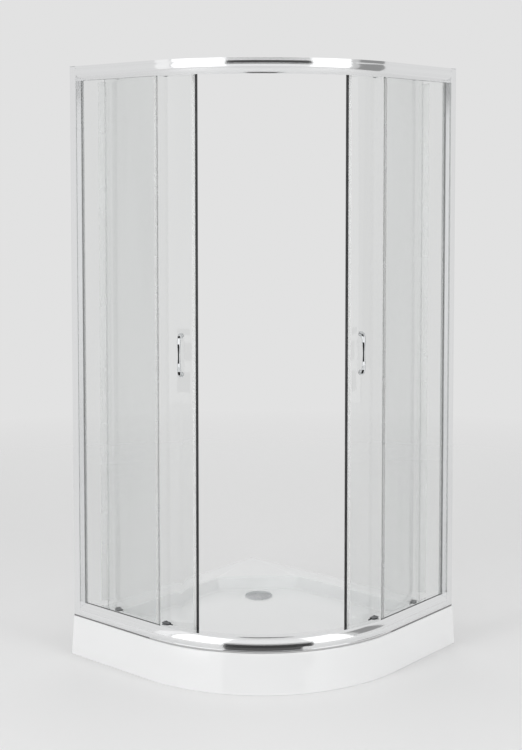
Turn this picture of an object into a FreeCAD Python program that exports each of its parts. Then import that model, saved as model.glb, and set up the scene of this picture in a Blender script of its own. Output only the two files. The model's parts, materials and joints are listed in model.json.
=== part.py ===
"""Quadrant shower enclosure on a low tray: two flat fixed panes, two curved sliding doors.

Frame of the part: millimetres, +Z up, z = 0 at the floor. The room's walls are the planes
x = -tray_side / 2 and y = +tray_side / 2, and the rounded front faces +X and -Y. The part is
symmetric about the vertical plane through the rear corner, so the left half is drawn and the
right half is its mirror image. The doors stand open, as they are shown.
"""
import FreeCAD
import Part
import math
import os
import Sketcher
from FreeCAD import Placement, Rotation, Vector

doc = FreeCAD.newDocument("quadrant_shower")
sheet = doc.addObject("Spreadsheet::Sheet", "dims")

DRIVING_SIZES = {
    # tray
    "tray_side": 900,
    "tray_radius": 550,
    "tray_flare": 10,
    "tray_height": 125,
    "tray_wall": 6,
    "basin_margin": 80,
    "basin_chamfer": 200,
    "basin_front_margin": 60,
    "basin_depth": 42,
    "basin_slope": 12,
    "basin_corner": 28,
    "rim_round": 5,
    # base board and feet
    "board_thickness": 12,
    "board_margin": 60,
    "foot_stud_diameter": 10,
    "foot_pad_diameter": 42,
    "foot_pad_height": 8,
    "foot_nut_height": 6,
    # waste
    "waste_inset": 242,
    "waste_hole": 90,
    "waste_flange_diameter": 112,
    "waste_cover_diameter": 94,
    "waste_cover_rise": 5,
    "waste_body_diameter": 84,
    "waste_outlet_bore": 36,
    "waste_outlet_wall": 2,
    "waste_outlet_length": 60,
    # frame
    "frame_height": 1790,
    "frame_setback": 2,
    "rail_depth": 36.5,
    "rail_height": 46,
    "rail_wall": 2,
    "rail_foot_lip": 7,
    "rail_groove": 1.5,
    "rail_bulge_radius": 39,
    "track_height": 24.8,
    "track_lip": 6,
    "wall_profile_width": 28,
    "wall_profile_web": 2,
    "wall_profile_flange": 1.5,
    "wall_hole_diameter": 6,
    "wall_hole_spacing": 480,
    "post_clearance": 0.3,
    "post_wall": 1.8,
    "post_reach": 38,
    "post_slot_depth": 8,
    "post_lip": 2,
    "cap_thickness": 1.5,
    "rail_screw_diameter": 3,
    "rail_screw_length": 22,
    "screw_port_diameter": 3.2,
    "screw_port_depth": 26,
    "lock_screw_diameter": 4,
    "lock_screw_length": 9,
    "lock_screw_inset": 175,
    # glass
    "glass_thickness": 5,
    "fixed_glass_setback": 18.5,
    "fixed_glass_overrun": 25,
    "glazing_slot": 8,
    "glazing_depth": 15,
    "gasket_face": 6.5,
    "door_behind_rail": 15.5,
    "door_angle": 47.5,
    "door_meeting_gap": 7.6,
    "door_clearance_low": 15,
    "door_clearance_high": 15,
    "seal_clearance": 2.5,
    # rollers
    "wheel_diameter": 18,
    "wheel_width": 5.5,
    "wheel_seat": 9,
    "wheel_gap": 0.15,
    "axle_diameter": 5,
    "roller_lead": 11.7,
    "roller_pitch": 24.6,
    "door_travel": 254,
    "plate_thickness": 2.9,
    "roller_bolt_diameter": 9.6,
    "roller_bolt_gap": 0.2,
    "top_bolt_rise": 9,
    "top_cap_diameter": 21.6,
    "bottom_bolt_drop": 17,
    "bottom_bolt_offset": 13,
    "bottom_cap_diameter": 16,
    "housing_wall_side": 10,
    "housing_free_side": 14,
    "housing_depth": 15.5,
    "housing_gap": 1.3,
    "housing_height": 2.6,
    "housing_plate": 1.8,
    "slider_width": 10,
    "finger_rise": 5.5,
    # handles
    "handle_inset": 48,
    "handle_height": 1016,
    "handle_pitch": 120,
    "handle_reach": 14,
    "handle_grip_length": 66,
    "handle_end_diameter": 12,
    "handle_waist_diameter": 8,
    "handle_foot_diameter": 18,
    "handle_bolt_diameter": 5,
    "handle_cap_diameter": 16,
}

for row, (alias, number) in enumerate(DRIVING_SIZES.items(), start=1):
    sheet.set(f"A{row}", alias)
    sheet.set(f"B{row}", str(number))
    sheet.setAlias(f"B{row}", alias)
doc.recompute()


class Size:
    """A length or an angle: its value now, and the formula on the sheet that it comes from."""

    def __init__(self, formula, value):
        self.formula = formula
        self.value = value

    def _joined(self, sign, other, value):
        return Size(f"({self.formula} {sign} {as_size(other).formula})", value)

    def __add__(self, other):
        return self._joined("+", other, self.value + as_size(other).value)

    def __sub__(self, other):
        return self._joined("-", other, self.value - as_size(other).value)

    def __mul__(self, other):
        return self._joined("*", other, self.value * as_size(other).value)

    def __truediv__(self, other):
        return self._joined("/", other, self.value / as_size(other).value)

    def __neg__(self):
        return Size(f"(0 - {self.formula})", -self.value)

    def __radd__(self, other):
        return as_size(other) + self

    def __rsub__(self, other):
        return as_size(other) - self


def as_size(number):
    return number if isinstance(number, Size) else Size(repr(number), float(number))


def dim(alias):
    """The driving dimension of that name."""
    return Size(f"dims.{alias}", float(sheet.get(alias)))


# ---------------------------------------------------------------- derived sizes

half_side = dim("tray_side") / 2
arc_shift = dim("tray_radius") - half_side
straight = dim("tray_side") - dim("tray_radius")
frame_bottom = dim("tray_height")
frame_top = dim("tray_height") + dim("frame_height")
rail_outside = dim("tray_radius") - dim("tray_flare") - dim("frame_setback")
rail_inside = rail_outside - dim("rail_depth")
rail_length = straight - dim("wall_profile_width")
fixed_glass_width = straight + dim("fixed_glass_overrun")
between_rails_low = frame_bottom + dim("rail_height")
between_rails_high = frame_top - dim("rail_height")
fixed_glass_middle = rail_outside - dim("fixed_glass_setback")
door_middle = rail_inside - dim("door_behind_rail")
half_glass = dim("glass_thickness") / 2
door_outside = door_middle + half_glass
door_inside = door_middle - half_glass
door_low = frame_bottom + dim("door_clearance_low")
door_high = frame_top - dim("door_clearance_high")
seal_low = between_rails_low + dim("seal_clearance")
seal_high = between_rails_high - dim("seal_clearance")
wheel_middle = rail_inside + dim("rail_wall") + dim("wheel_seat")
wheel_radius = dim("wheel_diameter") / 2
track_floor = dim("rail_wall")
track_ceiling = track_floor + dim("track_height")
slot_floor = dim("rail_height") - dim("glazing_depth")
top_axle_height = frame_top - track_ceiling + wheel_radius + dim("wheel_gap")
bottom_axle_height = frame_bottom + track_floor + wheel_radius + dim("wheel_gap")

ARC_CENTRE = Vector(-arc_shift.value, arc_shift.value, 0)
MEETING_ANGLE = -45.0
MIRROR_NORMAL = Vector(1, 1, 0)


def degrees_along(radius, length):
    """The angle that a length takes along an arc of that radius."""
    return math.degrees(length.value / radius.value)


lead_angle = MEETING_ANGLE - degrees_along(door_middle, dim("door_meeting_gap"))
trail_angle = lead_angle - dim("door_angle").value
front_roller_angle = lead_angle - dim("roller_lead").value
rear_roller_angle = front_roller_angle - dim("roller_pitch").value
handle_angle = lead_angle - degrees_along(door_middle, dim("handle_inset"))


def on_arc(radius, angle, height=0.0):
    """Placement on an arc about the quadrant's centre: local X outwards, local Y along the arc."""
    turned = Rotation(Vector(0, 0, 1), angle)
    spot = ARC_CENTRE + turned.multVec(Vector(radius, 0, 0)) + Vector(0, 0, height)
    return Placement(spot, turned)


def point_on_track(run):
    """A point of the rollers' line, at a length along it from where the arc meets the straight."""
    radius = wheel_middle.value
    if run < 0:
        return ARC_CENTRE + Vector(run, -radius, 0)
    return on_arc(radius, -90 + math.degrees(run / radius)).Base


def door_swing():
    """The turn that carries the closed left door to its open place, rollers on the track at both ends."""
    closed_rear = on_arc(wheel_middle.value, rear_roller_angle).Base
    closed_front = on_arc(wheel_middle.value, front_roller_angle).Base
    pitch = closed_rear.distanceToPoint(closed_front)
    rear_run = math.radians(rear_roller_angle + 90) * wheel_middle.value - dim("door_travel").value
    open_rear = point_on_track(rear_run)
    short, long = rear_run, rear_run + 2 * pitch
    for _ in range(60):
        middle = (short + long) / 2
        if point_on_track(middle).distanceToPoint(open_rear) < pitch:
            short = middle
        else:
            long = middle
    open_front = point_on_track(short)
    closed_line = closed_front - closed_rear
    open_line = open_front - open_rear
    turn = math.atan2(open_line.y, open_line.x) - math.atan2(closed_line.y, closed_line.x)
    span = open_rear - closed_rear
    across = Vector(-span.y, span.x, 0) / (2 * math.tan(turn / 2))
    pivot = closed_rear + span / 2 + across
    return Placement(Vector(0, 0, 0), Rotation(Vector(0, 0, 1), math.degrees(turn)), pivot), pivot, turn


SWING, PIVOT, TURN = door_swing()


# ---------------------------------------------------------------- drawing helpers

def new_body(label):
    body = doc.addObject("PartDesign::Body", label)
    body.Label = label
    return body


def origin_plane(body, role):
    return next(item for item in body.Origin.OriginFeatures if item.Role == role)


def new_sketch(body, role, offset=None):
    """A sketch on one of the body's own planes, at an offset along the plane's normal."""
    sketch = body.newObject("Sketcher::SketchObject", f"{body.Name}_sketch")
    sketch.AttachmentSupport = [(origin_plane(body, role), "")]
    sketch.MapMode = "FlatFace"
    if offset is not None:
        sketch.AttachmentOffset = Placement(Vector(0, 0, offset.value), Rotation())
        sketch.setExpression("AttachmentOffset.Base.z", offset.formula)
    return sketch


def bind_constraint(sketch, constraint, size):
    index = sketch.addConstraint(constraint)
    sketch.setExpression(f"Constraints[{index}]", size.formula)


def arc_between(start, end, radius, bulge):
    """An arc of that radius from start to end. A bulge of +1 swells to the right of the way there."""
    chord = end - start
    half = chord.Length / 2
    right = Vector(chord.y, -chord.x, 0).normalize()
    centre = (start + end) / 2 - right * (bulge * math.sqrt(radius * radius - half * half))
    first, last = (start, end) if bulge > 0 else (end, start)
    angles = [math.atan2(point.y - centre.y, point.x - centre.x) for point in (first, last)]
    if angles[1] < angles[0]:
        angles[1] += 2 * math.pi
    return Part.ArcOfCircle(Part.Circle(centre, Vector(0, 0, 1), radius), *angles)


def draw_outline(sketch, corners, arcs=None):
    """A closed outline through corners (x, y). arcs gives (radius, bulge) for the edge after a corner."""
    arcs = arcs or {}
    corners = [(as_size(x), as_size(y)) for x, y in corners]
    points = [Vector(x.value, y.value, 0) for x, y in corners]
    edges = []
    for index, start in enumerate(points):
        end = points[(index + 1) % len(points)]
        if index in arcs:
            radius, bulge = arcs[index]
            edges.append(sketch.addGeometry(arc_between(start, end, radius.value, bulge)))
        else:
            edges.append(sketch.addGeometry(Part.LineSegment(start, end)))
    starts = {}
    for index, edge in enumerate(edges):
        curve = sketch.Geometry[edge]
        starts[edge] = 1 if curve.StartPoint.distanceToPoint(points[index]) < 1e-6 else 2
    for index, edge in enumerate(edges):
        following = edges[(index + 1) % len(edges)]
        sketch.addConstraint(Sketcher.Constraint("Coincident", edge, 3 - starts[edge],
                                                 following, starts[following]))
    for index, edge in enumerate(edges):
        x, y = corners[index]
        for kind, axis, size in (("DistanceX", -2, x), ("DistanceY", -1, y)):
            if abs(size.value) < 1e-9:
                sketch.addConstraint(Sketcher.Constraint("PointOnObject", edge, starts[edge], axis))
            else:
                place = Sketcher.Constraint(kind, -1, 1, edge, starts[edge], size.value)
                bind_constraint(sketch, place, size)
        if index in arcs:
            bind_constraint(sketch, Sketcher.Constraint("Radius", edge, arcs[index][0].value),
                            arcs[index][0])


def draw_circle(sketch, x, y, diameter):
    x, y, diameter = as_size(x), as_size(y), as_size(diameter)
    circle = Part.Circle(Vector(x.value, y.value, 0), Vector(0, 0, 1), diameter.value / 2)
    edge = sketch.addGeometry(circle)
    bind_constraint(sketch, Sketcher.Constraint("Diameter", edge, diameter.value), diameter)
    for kind, axis, size in (("DistanceX", -2, x), ("DistanceY", -1, y)):
        if abs(size.value) < 1e-9:
            sketch.addConstraint(Sketcher.Constraint("PointOnObject", edge, 3, axis))
        else:
            bind_constraint(sketch, Sketcher.Constraint(kind, -1, 1, edge, 3, size.value), size)


def rectangle(x_low, x_high, y_low, y_high):
    return [(x_low, y_low), (x_high, y_low), (x_high, y_high), (x_low, y_high)]


def feature(body, kind, sketch, **sizes):
    """A feature built on a sketch, with its sizes bound to the sheet."""
    made = body.newObject(f"PartDesign::{kind}", f"{body.Name}_{kind.lower()}")
    made.Profile = sketch
    for name, size in sizes.items():
        if isinstance(size, Size):
            setattr(made, name, size.value)
            made.setExpression(name, size.formula)
        else:
            setattr(made, name, size)
    sketch.Visibility = False
    return made


def pad(body, sketch, length, reverse=False):
    return feature(body, "Pad", sketch, Length=length, Reversed=reverse)


def pocket(body, sketch, length, reverse=False):
    return feature(body, "Pocket", sketch, Length=length, Reversed=reverse)


def revolve(body, sketch, angle, axis="V_Axis", reverse=False, cut=False):
    kind = "Groove" if cut else "Revolution"
    made = feature(body, kind, sketch, Angle=angle, Reversed=reverse)
    made.ReferenceAxis = (sketch, [axis])
    return made


def cut_checked(body, feature_made, before):
    """Stops the build when a cut has taken nothing away."""
    doc.recompute()
    if body.Shape.Volume > before - 1e-3:
        raise RuntimeError(f"{feature_made.Name} removes nothing")


def upright_bar(label, corners, arcs, low, high):
    """A bar that stands along Z between two heights, with the given section."""
    body = new_body(label)
    sketch = new_sketch(body, "XY_Plane", low)
    draw_outline(sketch, corners, arcs)
    pad(body, sketch, high - low)
    return body


def group(label, members):
    """Identical pieces that share one node, each a solid of its own."""
    made = doc.addObject("Part::Compound", label)
    made.Label = label
    made.Links = members
    return made


def fused(label, members):
    made = doc.addObject("Part::MultiFuse", label)
    made.Label = label
    made.Shapes = members
    made.Refine = True
    return made


def cylinder(name, diameter, length, placement):
    made = doc.addObject("Part::Cylinder", name)
    for prop, size in (("Radius", as_size(diameter) / 2), ("Height", as_size(length))):
        setattr(made, prop, size.value)
        made.setExpression(prop, size.formula)
    made.Placement = placement
    return made


def bar(name, sizes, placement):
    """A square-edged bar, sizes along X, Y and Z, from the placement's corner."""
    made = doc.addObject("Part::Box", name)
    for prop, size in zip(("Length", "Width", "Height"), sizes):
        setattr(made, prop, as_size(size).value)
        made.setExpression(prop, as_size(size).formula)
    made.Placement = placement
    return made


def hexagon(name, across_corners, height, placement):
    """A six-sided bar that stands along the placement's Z."""
    made = doc.addObject("Part::Prism", name)
    made.Polygon = 6
    for prop, size in (("Circumradius", as_size(across_corners) / 2), ("Height", as_size(height))):
        setattr(made, prop, size.value)
        made.setExpression(prop, size.formula)
    made.Placement = placement
    return made


def raised(height):
    """A placement at that height over the origin."""
    return Placement(Vector(0, 0, as_size(height).value), Rotation())


OUTWARD = Rotation(Vector(0, 1, 0), 90)


def mirrored(label, source):
    """The right-hand twin of a left-hand piece."""
    made = doc.addObject("Part::Mirroring", label)
    made.Label = label
    made.Source = source
    made.Base = Vector(0, 0, 0)
    made.Normal = MIRROR_NORMAL
    return made


finished = []


def finish(piece):
    """Marks a piece as a node of its own."""
    finished.append(piece)
    return piece


def finish_pair(piece):
    """A left-hand piece and its mirror image are two nodes."""
    finish(piece)
    return finish(mirrored(piece.Label.replace("left_", "right_", 1), piece))


def hide_in_open_door(piece, placement):
    """Puts a piece of the closed left door where the open door carries it."""
    piece.Placement = SWING.multiply(placement)
    return piece


# ---------------------------------------------------------------- tray

def quadrant_corners(side_inset, front_inset):
    """Corners of a quadrant outline about the tray's middle: square rear corner, rounded front."""
    rear = half_side - side_inset
    front = half_side - front_inset
    corners = [(-rear, rear), (-rear, -front), (-arc_shift, -front), (front, arc_shift), (front, rear)]
    return corners, {2: (dim("tray_radius") - front_inset, 1)}


def basin_corners(inset):
    """The basin's outline: square to the walls, chamfered at the rear corner, rounded at the front."""
    wall_edge = half_side - dim("basin_margin") - inset
    front = half_side - dim("tray_flare") - dim("basin_front_margin") - inset
    chamfer = dim("basin_chamfer") - inset * 0.586
    corners = [(-wall_edge, wall_edge - chamfer), (-wall_edge, -front), (-arc_shift, -front),
               (front, arc_shift), (front, wall_edge), (-wall_edge + chamfer, wall_edge)]
    radius = dim("tray_radius") - dim("tray_flare") - dim("basin_front_margin") - inset
    return corners, {2: (radius, 1)}


def loft(body, kind, sections):
    """A straight-sided loft through outlines given as (corners, arcs, height)."""
    sketches = []
    for corners, arcs, height in sections:
        sketch = new_sketch(body, "XY_Plane", height)
        draw_outline(sketch, corners, arcs)
        sketches.append(sketch)
    made = body.newObject(f"PartDesign::{kind}", f"{body.Name}_loft")
    made.Profile = sketches[0]
    made.Sections = sketches[1:]
    made.Ruled = True
    return made


def edges_near(shape, wanted):
    """Names of the edges whose middle satisfies a test."""
    names = []
    for index, edge in enumerate(shape.Edges, start=1):
        middle = edge.valueAt((edge.FirstParameter + edge.LastParameter) / 2)
        if wanted(edge, middle):
            names.append(f"Edge{index}")
    return names


def round_edges(body, names, radius):
    if not names:
        raise RuntimeError(f"{body.Name}: no edge to round")
    base = body.Tip
    made = body.newObject("PartDesign::Fillet", f"{body.Name}_fillet")
    made.Base = (base, names)
    made.Radius = radius.value
    made.setExpression("Radius", radius.formula)
    doc.recompute()
    return made


basin_floor = dim("tray_height") - dim("basin_depth")
floor_underside = basin_floor - dim("tray_wall")
board_low = floor_underside - dim("board_thickness")
waste_centre = Vector(-half_side.value + dim("waste_inset").value,
                      half_side.value - dim("waste_inset").value, 0)
waste_x = -half_side + dim("waste_inset")
waste_y = half_side - dim("waste_inset")


def make_tray():
    body = new_body("shower_tray")
    height, wall, flare = dim("tray_height"), dim("tray_wall"), dim("tray_flare")
    foot = quadrant_corners(as_size(0), as_size(0))
    rim = quadrant_corners(as_size(0), flare)
    loft(body, "AdditiveLoft", [(*foot, as_size(0)), (*rim, height)])
    under_foot = quadrant_corners(wall, wall)
    under_rim = quadrant_corners(wall, flare + wall)
    loft(body, "SubtractiveLoft", [(*under_foot, as_size(0)), (*under_rim, height - wall)])
    doc.recompute()
    hollow = body.Shape.Volume
    outer_top, outer_low = basin_corners(-wall), basin_corners(dim("basin_slope") - wall)
    loft(body, "AdditiveLoft", [(*outer_low, floor_underside), (*outer_top, height - wall)])
    doc.recompute()
    filled = body.Shape.Volume
    inner_top, inner_low = basin_corners(as_size(0)), basin_corners(dim("basin_slope"))
    recess = loft(body, "SubtractiveLoft", [(*inner_low, basin_floor), (*inner_top, height)])
    cut_checked(body, recess, filled)
    if filled < hollow:
        raise RuntimeError("the basin adds nothing under the rim")
    low, high = basin_floor.value, height.value
    reach = half_side.value - dim("basin_margin").value + 1

    def basin_upright(edge, middle):
        inside = low + 1 < middle.z < high - 1 and abs(middle.x) < reach and abs(middle.y) < reach
        return inside and edge.Length < 2 * dim("basin_depth").value

    corners = [name for name in edges_near(body.Shape, basin_upright)
               if is_basin_corner(body.Shape, name)]
    round_edges(body, corners, dim("basin_corner"))

    def rim_edge(edge, middle):
        return abs(middle.z - high) < 1e-6

    round_edges(body, edges_near(body.Shape, rim_edge), dim("rim_round"))

    def floor_edge(edge, middle):
        return abs(middle.z - low) < 1e-6

    round_edges(body, edges_near(body.Shape, floor_edge), dim("rim_round") * 2)
    filled = body.Shape.Volume
    hole = new_sketch(body, "XY_Plane", basin_floor + 1)
    draw_circle(hole, waste_x, waste_y, dim("waste_hole"))
    cut_checked(body, pocket(body, hole, dim("tray_wall") + 2), filled)
    return finish(body)


def is_basin_corner(shape, name):
    """True for an upright edge between two walls of the recess that meet at an angle."""
    edge = shape.getElement(name)
    faces = shape.ancestorsOfType(edge, Part.Face)
    middle = edge.valueAt((edge.FirstParameter + edge.LastParameter) / 2)
    if len(faces) != 2:
        return False
    normals = [face.normalAt(*face.Surface.parameter(middle)) for face in faces]
    return normals[0].getAngle(normals[1]) > math.radians(20)


def make_base_board():
    """A board bonded under the basin floor: the feet are screwed into it."""
    body = new_body("tray_base_board")
    side = half_side - dim("board_margin") - dim("basin_margin")
    front = half_side - dim("tray_flare") - dim("basin_front_margin") - dim("board_margin")
    radius = dim("tray_radius") - dim("tray_flare") - dim("basin_front_margin") - dim("board_margin")
    corners = [(-side, side - dim("basin_chamfer")), (-side, -front), (-arc_shift, -front),
               (front, arc_shift), (front, side), (-side + dim("basin_chamfer"), side)]
    sketch = new_sketch(body, "XY_Plane", board_low)
    draw_outline(sketch, corners, {2: (radius, 1)})
    pad(body, sketch, dim("board_thickness"))
    doc.recompute()
    before = body.Shape.Volume
    opening = new_sketch(body, "XY_Plane", floor_underside)
    draw_circle(opening, waste_x, waste_y, dim("waste_flange_diameter") + 24)
    for spot in foot_spots():
        draw_circle(opening, spot[0], spot[1], dim("foot_stud_diameter") + 0.2)
    cut_checked(body, pocket(body, opening, dim("board_thickness") + 1), before)
    return finish(body)


def foot_spots():
    """Centres of the five levelling feet: one at each end and corner of the base board."""
    inset = dim("board_margin") + dim("basin_margin") + 40
    side = half_side - inset
    front = half_side - dim("tray_flare") - inset
    bow = (dim("tray_radius") - dim("tray_flare") - inset) * math.cos(math.radians(45))
    return [(-side, -front), (bow - arc_shift, arc_shift - bow), (front, side),
            (-side, side - dim("basin_chamfer")), (-side + dim("basin_chamfer"), side)]


def make_feet():
    """Five levelling feet: a stud in the base board with its lock nut, and a pad on the floor."""
    studs, pads = [], []
    pad_height, nut_height = dim("foot_pad_height"), dim("foot_nut_height")
    for number, (x, y) in enumerate(foot_spots(), start=1):
        spot = Placement(Vector(as_size(x).value, as_size(y).value, 0), Rotation())
        stud = cylinder(f"stud_{number}", dim("foot_stud_diameter"), floor_underside - 0.5 - pad_height,
                        raised(pad_height))
        nut = hexagon(f"nut_{number}", dim("foot_stud_diameter") * 2, nut_height,
                      raised(board_low - nut_height))
        screwed = fused(f"stud_and_nut_{number}", [stud, nut])
        screwed.Placement = spot
        studs.append(screwed)
        pads.append(hexagon(f"pad_{number}", dim("foot_pad_diameter"), pad_height, spot))
    finish(group("foot_studs", studs))
    finish(group("foot_pads", pads))


def cut(name, base, tool):
    made = doc.addObject("Part::Cut", name)
    made.Label = name
    made.Base = base
    made.Tool = tool
    return made


# ---------------------------------------------------------------- waste

def turned_piece(label, profile, arcs=None):
    """A round piece about the waste's upright axis, from its half section (radius, height)."""
    body = new_body(label)
    sketch = new_sketch(body, "XZ_Plane")
    draw_outline(sketch, profile, arcs)
    revolve(body, sketch, as_size(360))
    body.Placement = Placement(waste_centre, Rotation())
    return body


def make_waste():
    """Low shower waste: flange and gasket clamp the tray floor, the trap hangs under it."""
    hole = dim("waste_hole") / 2
    flange = dim("waste_flange_diameter") / 2
    trap = dim("waste_body_diameter") / 2
    wall = dim("waste_outlet_wall")
    inner = trap - wall
    trap_low = dim("foot_pad_height") + 2
    trap_top = floor_underside - 3
    ring_top = basin_floor + 2
    throat = hole - 8
    finish(turned_piece("waste_flange", [
        (throat, trap_top + 0.3), (hole - 6.2, trap_top + 0.3), (hole - 6.2, basin_floor + 0.2),
        (hole + 4, basin_floor + 0.2), (hole + 2, ring_top), (throat, ring_top)]))
    finish(turned_piece("waste_gasket", [
        (hole - 0.3, floor_underside - 3), (flange, floor_underside - 3), (flange, floor_underside),
        (hole - 0.3, floor_underside)]))
    cup = turned_piece("trap_cup", [
        (0, trap_low), (trap, trap_low), (trap, trap_top - 5), (flange, trap_top - 5),
        (flange, trap_top), (0, trap_top)])
    outlet_height = trap_low + wall + dim("waste_outlet_bore") / 2 + wall
    away = Rotation(Vector(0, 0, 1), -45)
    sideways = Placement(waste_centre + Vector(0, 0, outlet_height.value),
                         away.multiply(Rotation(Vector(0, 1, 0), 90)))
    tube_length = trap + dim("waste_outlet_length")
    tube = cylinder("outlet_tube", dim("waste_outlet_bore") + wall * 2, tube_length, sideways)
    shell = fused("trap_shell", [cup, tube])
    bore = cylinder("outlet_bore", dim("waste_outlet_bore"), tube_length + 1, sideways)
    core = cylinder("trap_core", inner * 2, trap_top - trap_low - wall + 1,
                    Placement(waste_centre + Vector(0, 0, (trap_low + wall).value), Rotation()))
    hollow = fused("trap_hollow", [bore, core])
    finish(cut("waste_trap", shell, hollow))
    make_waste_cover(ring_top)


def make_waste_cover(ring_top):
    """A low domed lid over the flange: it lifts off, guided by a spigot in the throat."""
    radius = dim("waste_cover_diameter") / 2
    low = ring_top + 0.4
    high = low + dim("waste_cover_rise")
    throat = dim("waste_hole") / 2 - 8
    spigot = throat - 1.5
    cover = turned_piece("cover_blank", [
        (0, low + 2), (spigot - 2, low + 2), (spigot - 2, low - 8), (spigot, low - 8),
        (spigot, low), (radius, low), (radius, low + 1.5), (radius * 0.72, high - 1),
        (radius * 0.36, high - 0.1), (0, high)])
    slots = []
    for number in range(4):
        spin = Rotation(Vector(0, 0, 1), 45 + 90 * number)
        window = bar(f"cover_window_{number}", (as_size(30), as_size(16), as_size(7)),
                     Placement(waste_centre + Vector(0, 0, low.value - 8.5), spin)
                     .multiply(Placement(Vector(20, -8, 0), Rotation())))
        slots.append(window)
    peg = cylinder("cover_hole", as_size(5), as_size(20),
                   Placement(waste_centre + Vector(-8, -8, low.value - 1), Rotation()))
    finish(cut("waste_cover", cover, fused("cover_cuts", slots + [peg])))


# ---------------------------------------------------------------- frame

wall_x = -half_side
front_y = arc_shift - rail_outside
back_y = arc_shift - rail_inside
glass_y = arc_shift - fixed_glass_middle
profile_x = wall_x + dim("wall_profile_width")
cap_low = frame_top - dim("cap_thickness")
lock_screw_x = wall_x + dim("wall_profile_width") / 2
lock_hole = dim("lock_screw_diameter") + 0.2
fork_x = wall_x + dim("post_reach")
slot_x = fork_x - dim("post_slot_depth")


def lock_screw_heights():
    """Three screws lock a side post in its wall profile: near both ends and in the middle."""
    inset = dim("lock_screw_inset")
    return [frame_bottom + inset, frame_bottom + dim("frame_height") / 2, frame_top - inset]


def wall_hole_heights():
    """Four holes for the wall screws, equally spaced about the frame's middle."""
    middle = frame_bottom + dim("frame_height") / 2
    return [middle + dim("wall_hole_spacing") * step for step in (-1.5, -0.5, 0.5, 1.5)]


def drill_row(body, role, offset, spots, diameter, depth, reverse=False):
    """A row of equal holes, drilled from a plane of the body."""
    doc.recompute()
    before = body.Shape.Volume
    sketch = new_sketch(body, role, offset)
    for x, y in spots:
        draw_circle(sketch, x, y, diameter)
    cut_checked(body, pocket(body, sketch, depth, reverse), before)


def make_wall_profile():
    """U channel along the wall: screwed to it through the web, open towards the side post."""
    web, flange = dim("wall_profile_web"), dim("wall_profile_flange")
    section = [(wall_x, front_y), (profile_x, front_y), (profile_x, front_y + flange),
               (wall_x + web, front_y + flange), (wall_x + web, back_y - flange),
               (profile_x, back_y - flange), (profile_x, back_y), (wall_x, back_y)]
    body = upright_bar("left_wall_profile", section, None, frame_bottom, cap_low)
    middle_y = (front_y + back_y) / 2
    drill_row(body, "YZ_Plane", wall_x - 1, [(middle_y, z) for z in wall_hole_heights()],
              dim("wall_hole_diameter"), web + 2, True)
    drill_row(body, "XZ_Plane", -back_y - 1, [(lock_screw_x, z) for z in lock_screw_heights()],
              lock_hole, flange + 2, True)
    return finish_pair(body)


def make_side_post():
    """Post that slides in the wall profile: a channel with a fork between the rails for the glass."""
    gap, wall = dim("post_clearance"), dim("post_wall")
    inner = dim("wall_profile_flange") + gap
    low_x = wall_x + dim("wall_profile_web") + 4
    front, back = front_y + inner, back_y - inner
    web_x = profile_x - 2
    channel = [(low_x, front), (profile_x, front), (profile_x, back), (low_x, back),
               (low_x, back - wall), (web_x, back - wall), (web_x, front + wall), (low_x, front + wall)]
    body = upright_bar("left_side_post", channel, None, frame_bottom, cap_low)
    slot = dim("glazing_slot") / 2
    low_side, high_side = glass_y - slot, glass_y + slot
    lip = dim("post_lip")
    fork = [(profile_x - 1, low_side - lip), (fork_x, low_side - lip), (fork_x, low_side),
            (slot_x, low_side), (slot_x, high_side), (fork_x, high_side), (fork_x, high_side + lip),
            (profile_x - 1, high_side + lip)]
    sketch = new_sketch(body, "XY_Plane", between_rails_low)
    draw_outline(sketch, fork)
    pad(body, sketch, between_rails_high - between_rails_low)
    drill_row(body, "XZ_Plane", -back_y - 1, [(lock_screw_x, z) for z in lock_screw_heights()],
              lock_hole, inner + wall + 2, True)
    drill_row(body, "YZ_Plane", web_x - 1, rail_screw_spots(), dim("rail_screw_diameter") + 0.4,
              as_size(3), True)
    return finish_pair(body)


def rail_screw_spots():
    """Where the four screws of a side enter the rails' ends: (y, z), two low and two high."""
    spots = []
    for radius, rise in screw_ports():
        y = arc_shift - radius
        spots += [(y, frame_bottom + rise), (y, frame_top - rise)]
    return spots


def screw_ports():
    """Screw ports in the rail's section, as (distance from the arc's centre, height from the foot)."""
    return [(rail_inside + 7, dim("rail_height") - 3.5), (rail_outside - 7, as_size(5.5))]


def screw(name, diameter, length, head_diameter, head_height, placement):
    """A hexagon-head screw: the head lies before the placement, the shank runs along its Z."""
    shank = cylinder(f"{name}_shank", diameter, length, Placement())
    head = hexagon(f"{name}_head", head_diameter, head_height, raised(-head_height))
    made = fused(name, [shank, head])
    made.Placement = placement
    return made


def make_frame_screws():
    """Screws through the side posts into the rails' ends, and the locks of posts and wall profiles."""
    rail_screws, lock_screws = [], []
    for number, (y, z) in enumerate(rail_screw_spots(), start=1):
        spot = Placement(Vector((profile_x - 2).value, y.value, z.value), OUTWARD)
        left = screw(f"rail_screw_{number}", dim("rail_screw_diameter"), dim("rail_screw_length"),
                     dim("rail_screw_diameter") * 2, as_size(2.2), spot)
        rail_screws += [left, mirrored(f"rail_screw_{number}_twin", left)]
    inward = Rotation(Vector(1, 0, 0), 90)
    for number, z in enumerate(lock_screw_heights(), start=1):
        spot = Placement(Vector(lock_screw_x.value, back_y.value, z.value), inward)
        left = screw(f"lock_screw_{number}", dim("lock_screw_diameter"), dim("lock_screw_length"),
                     dim("lock_screw_diameter") * 2, as_size(2.4), spot)
        lock_screws += [left, mirrored(f"lock_screw_{number}_twin", left)]
    finish(group("rail_screws", rail_screws))
    finish(group("post_lock_screws", lock_screws))


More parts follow.
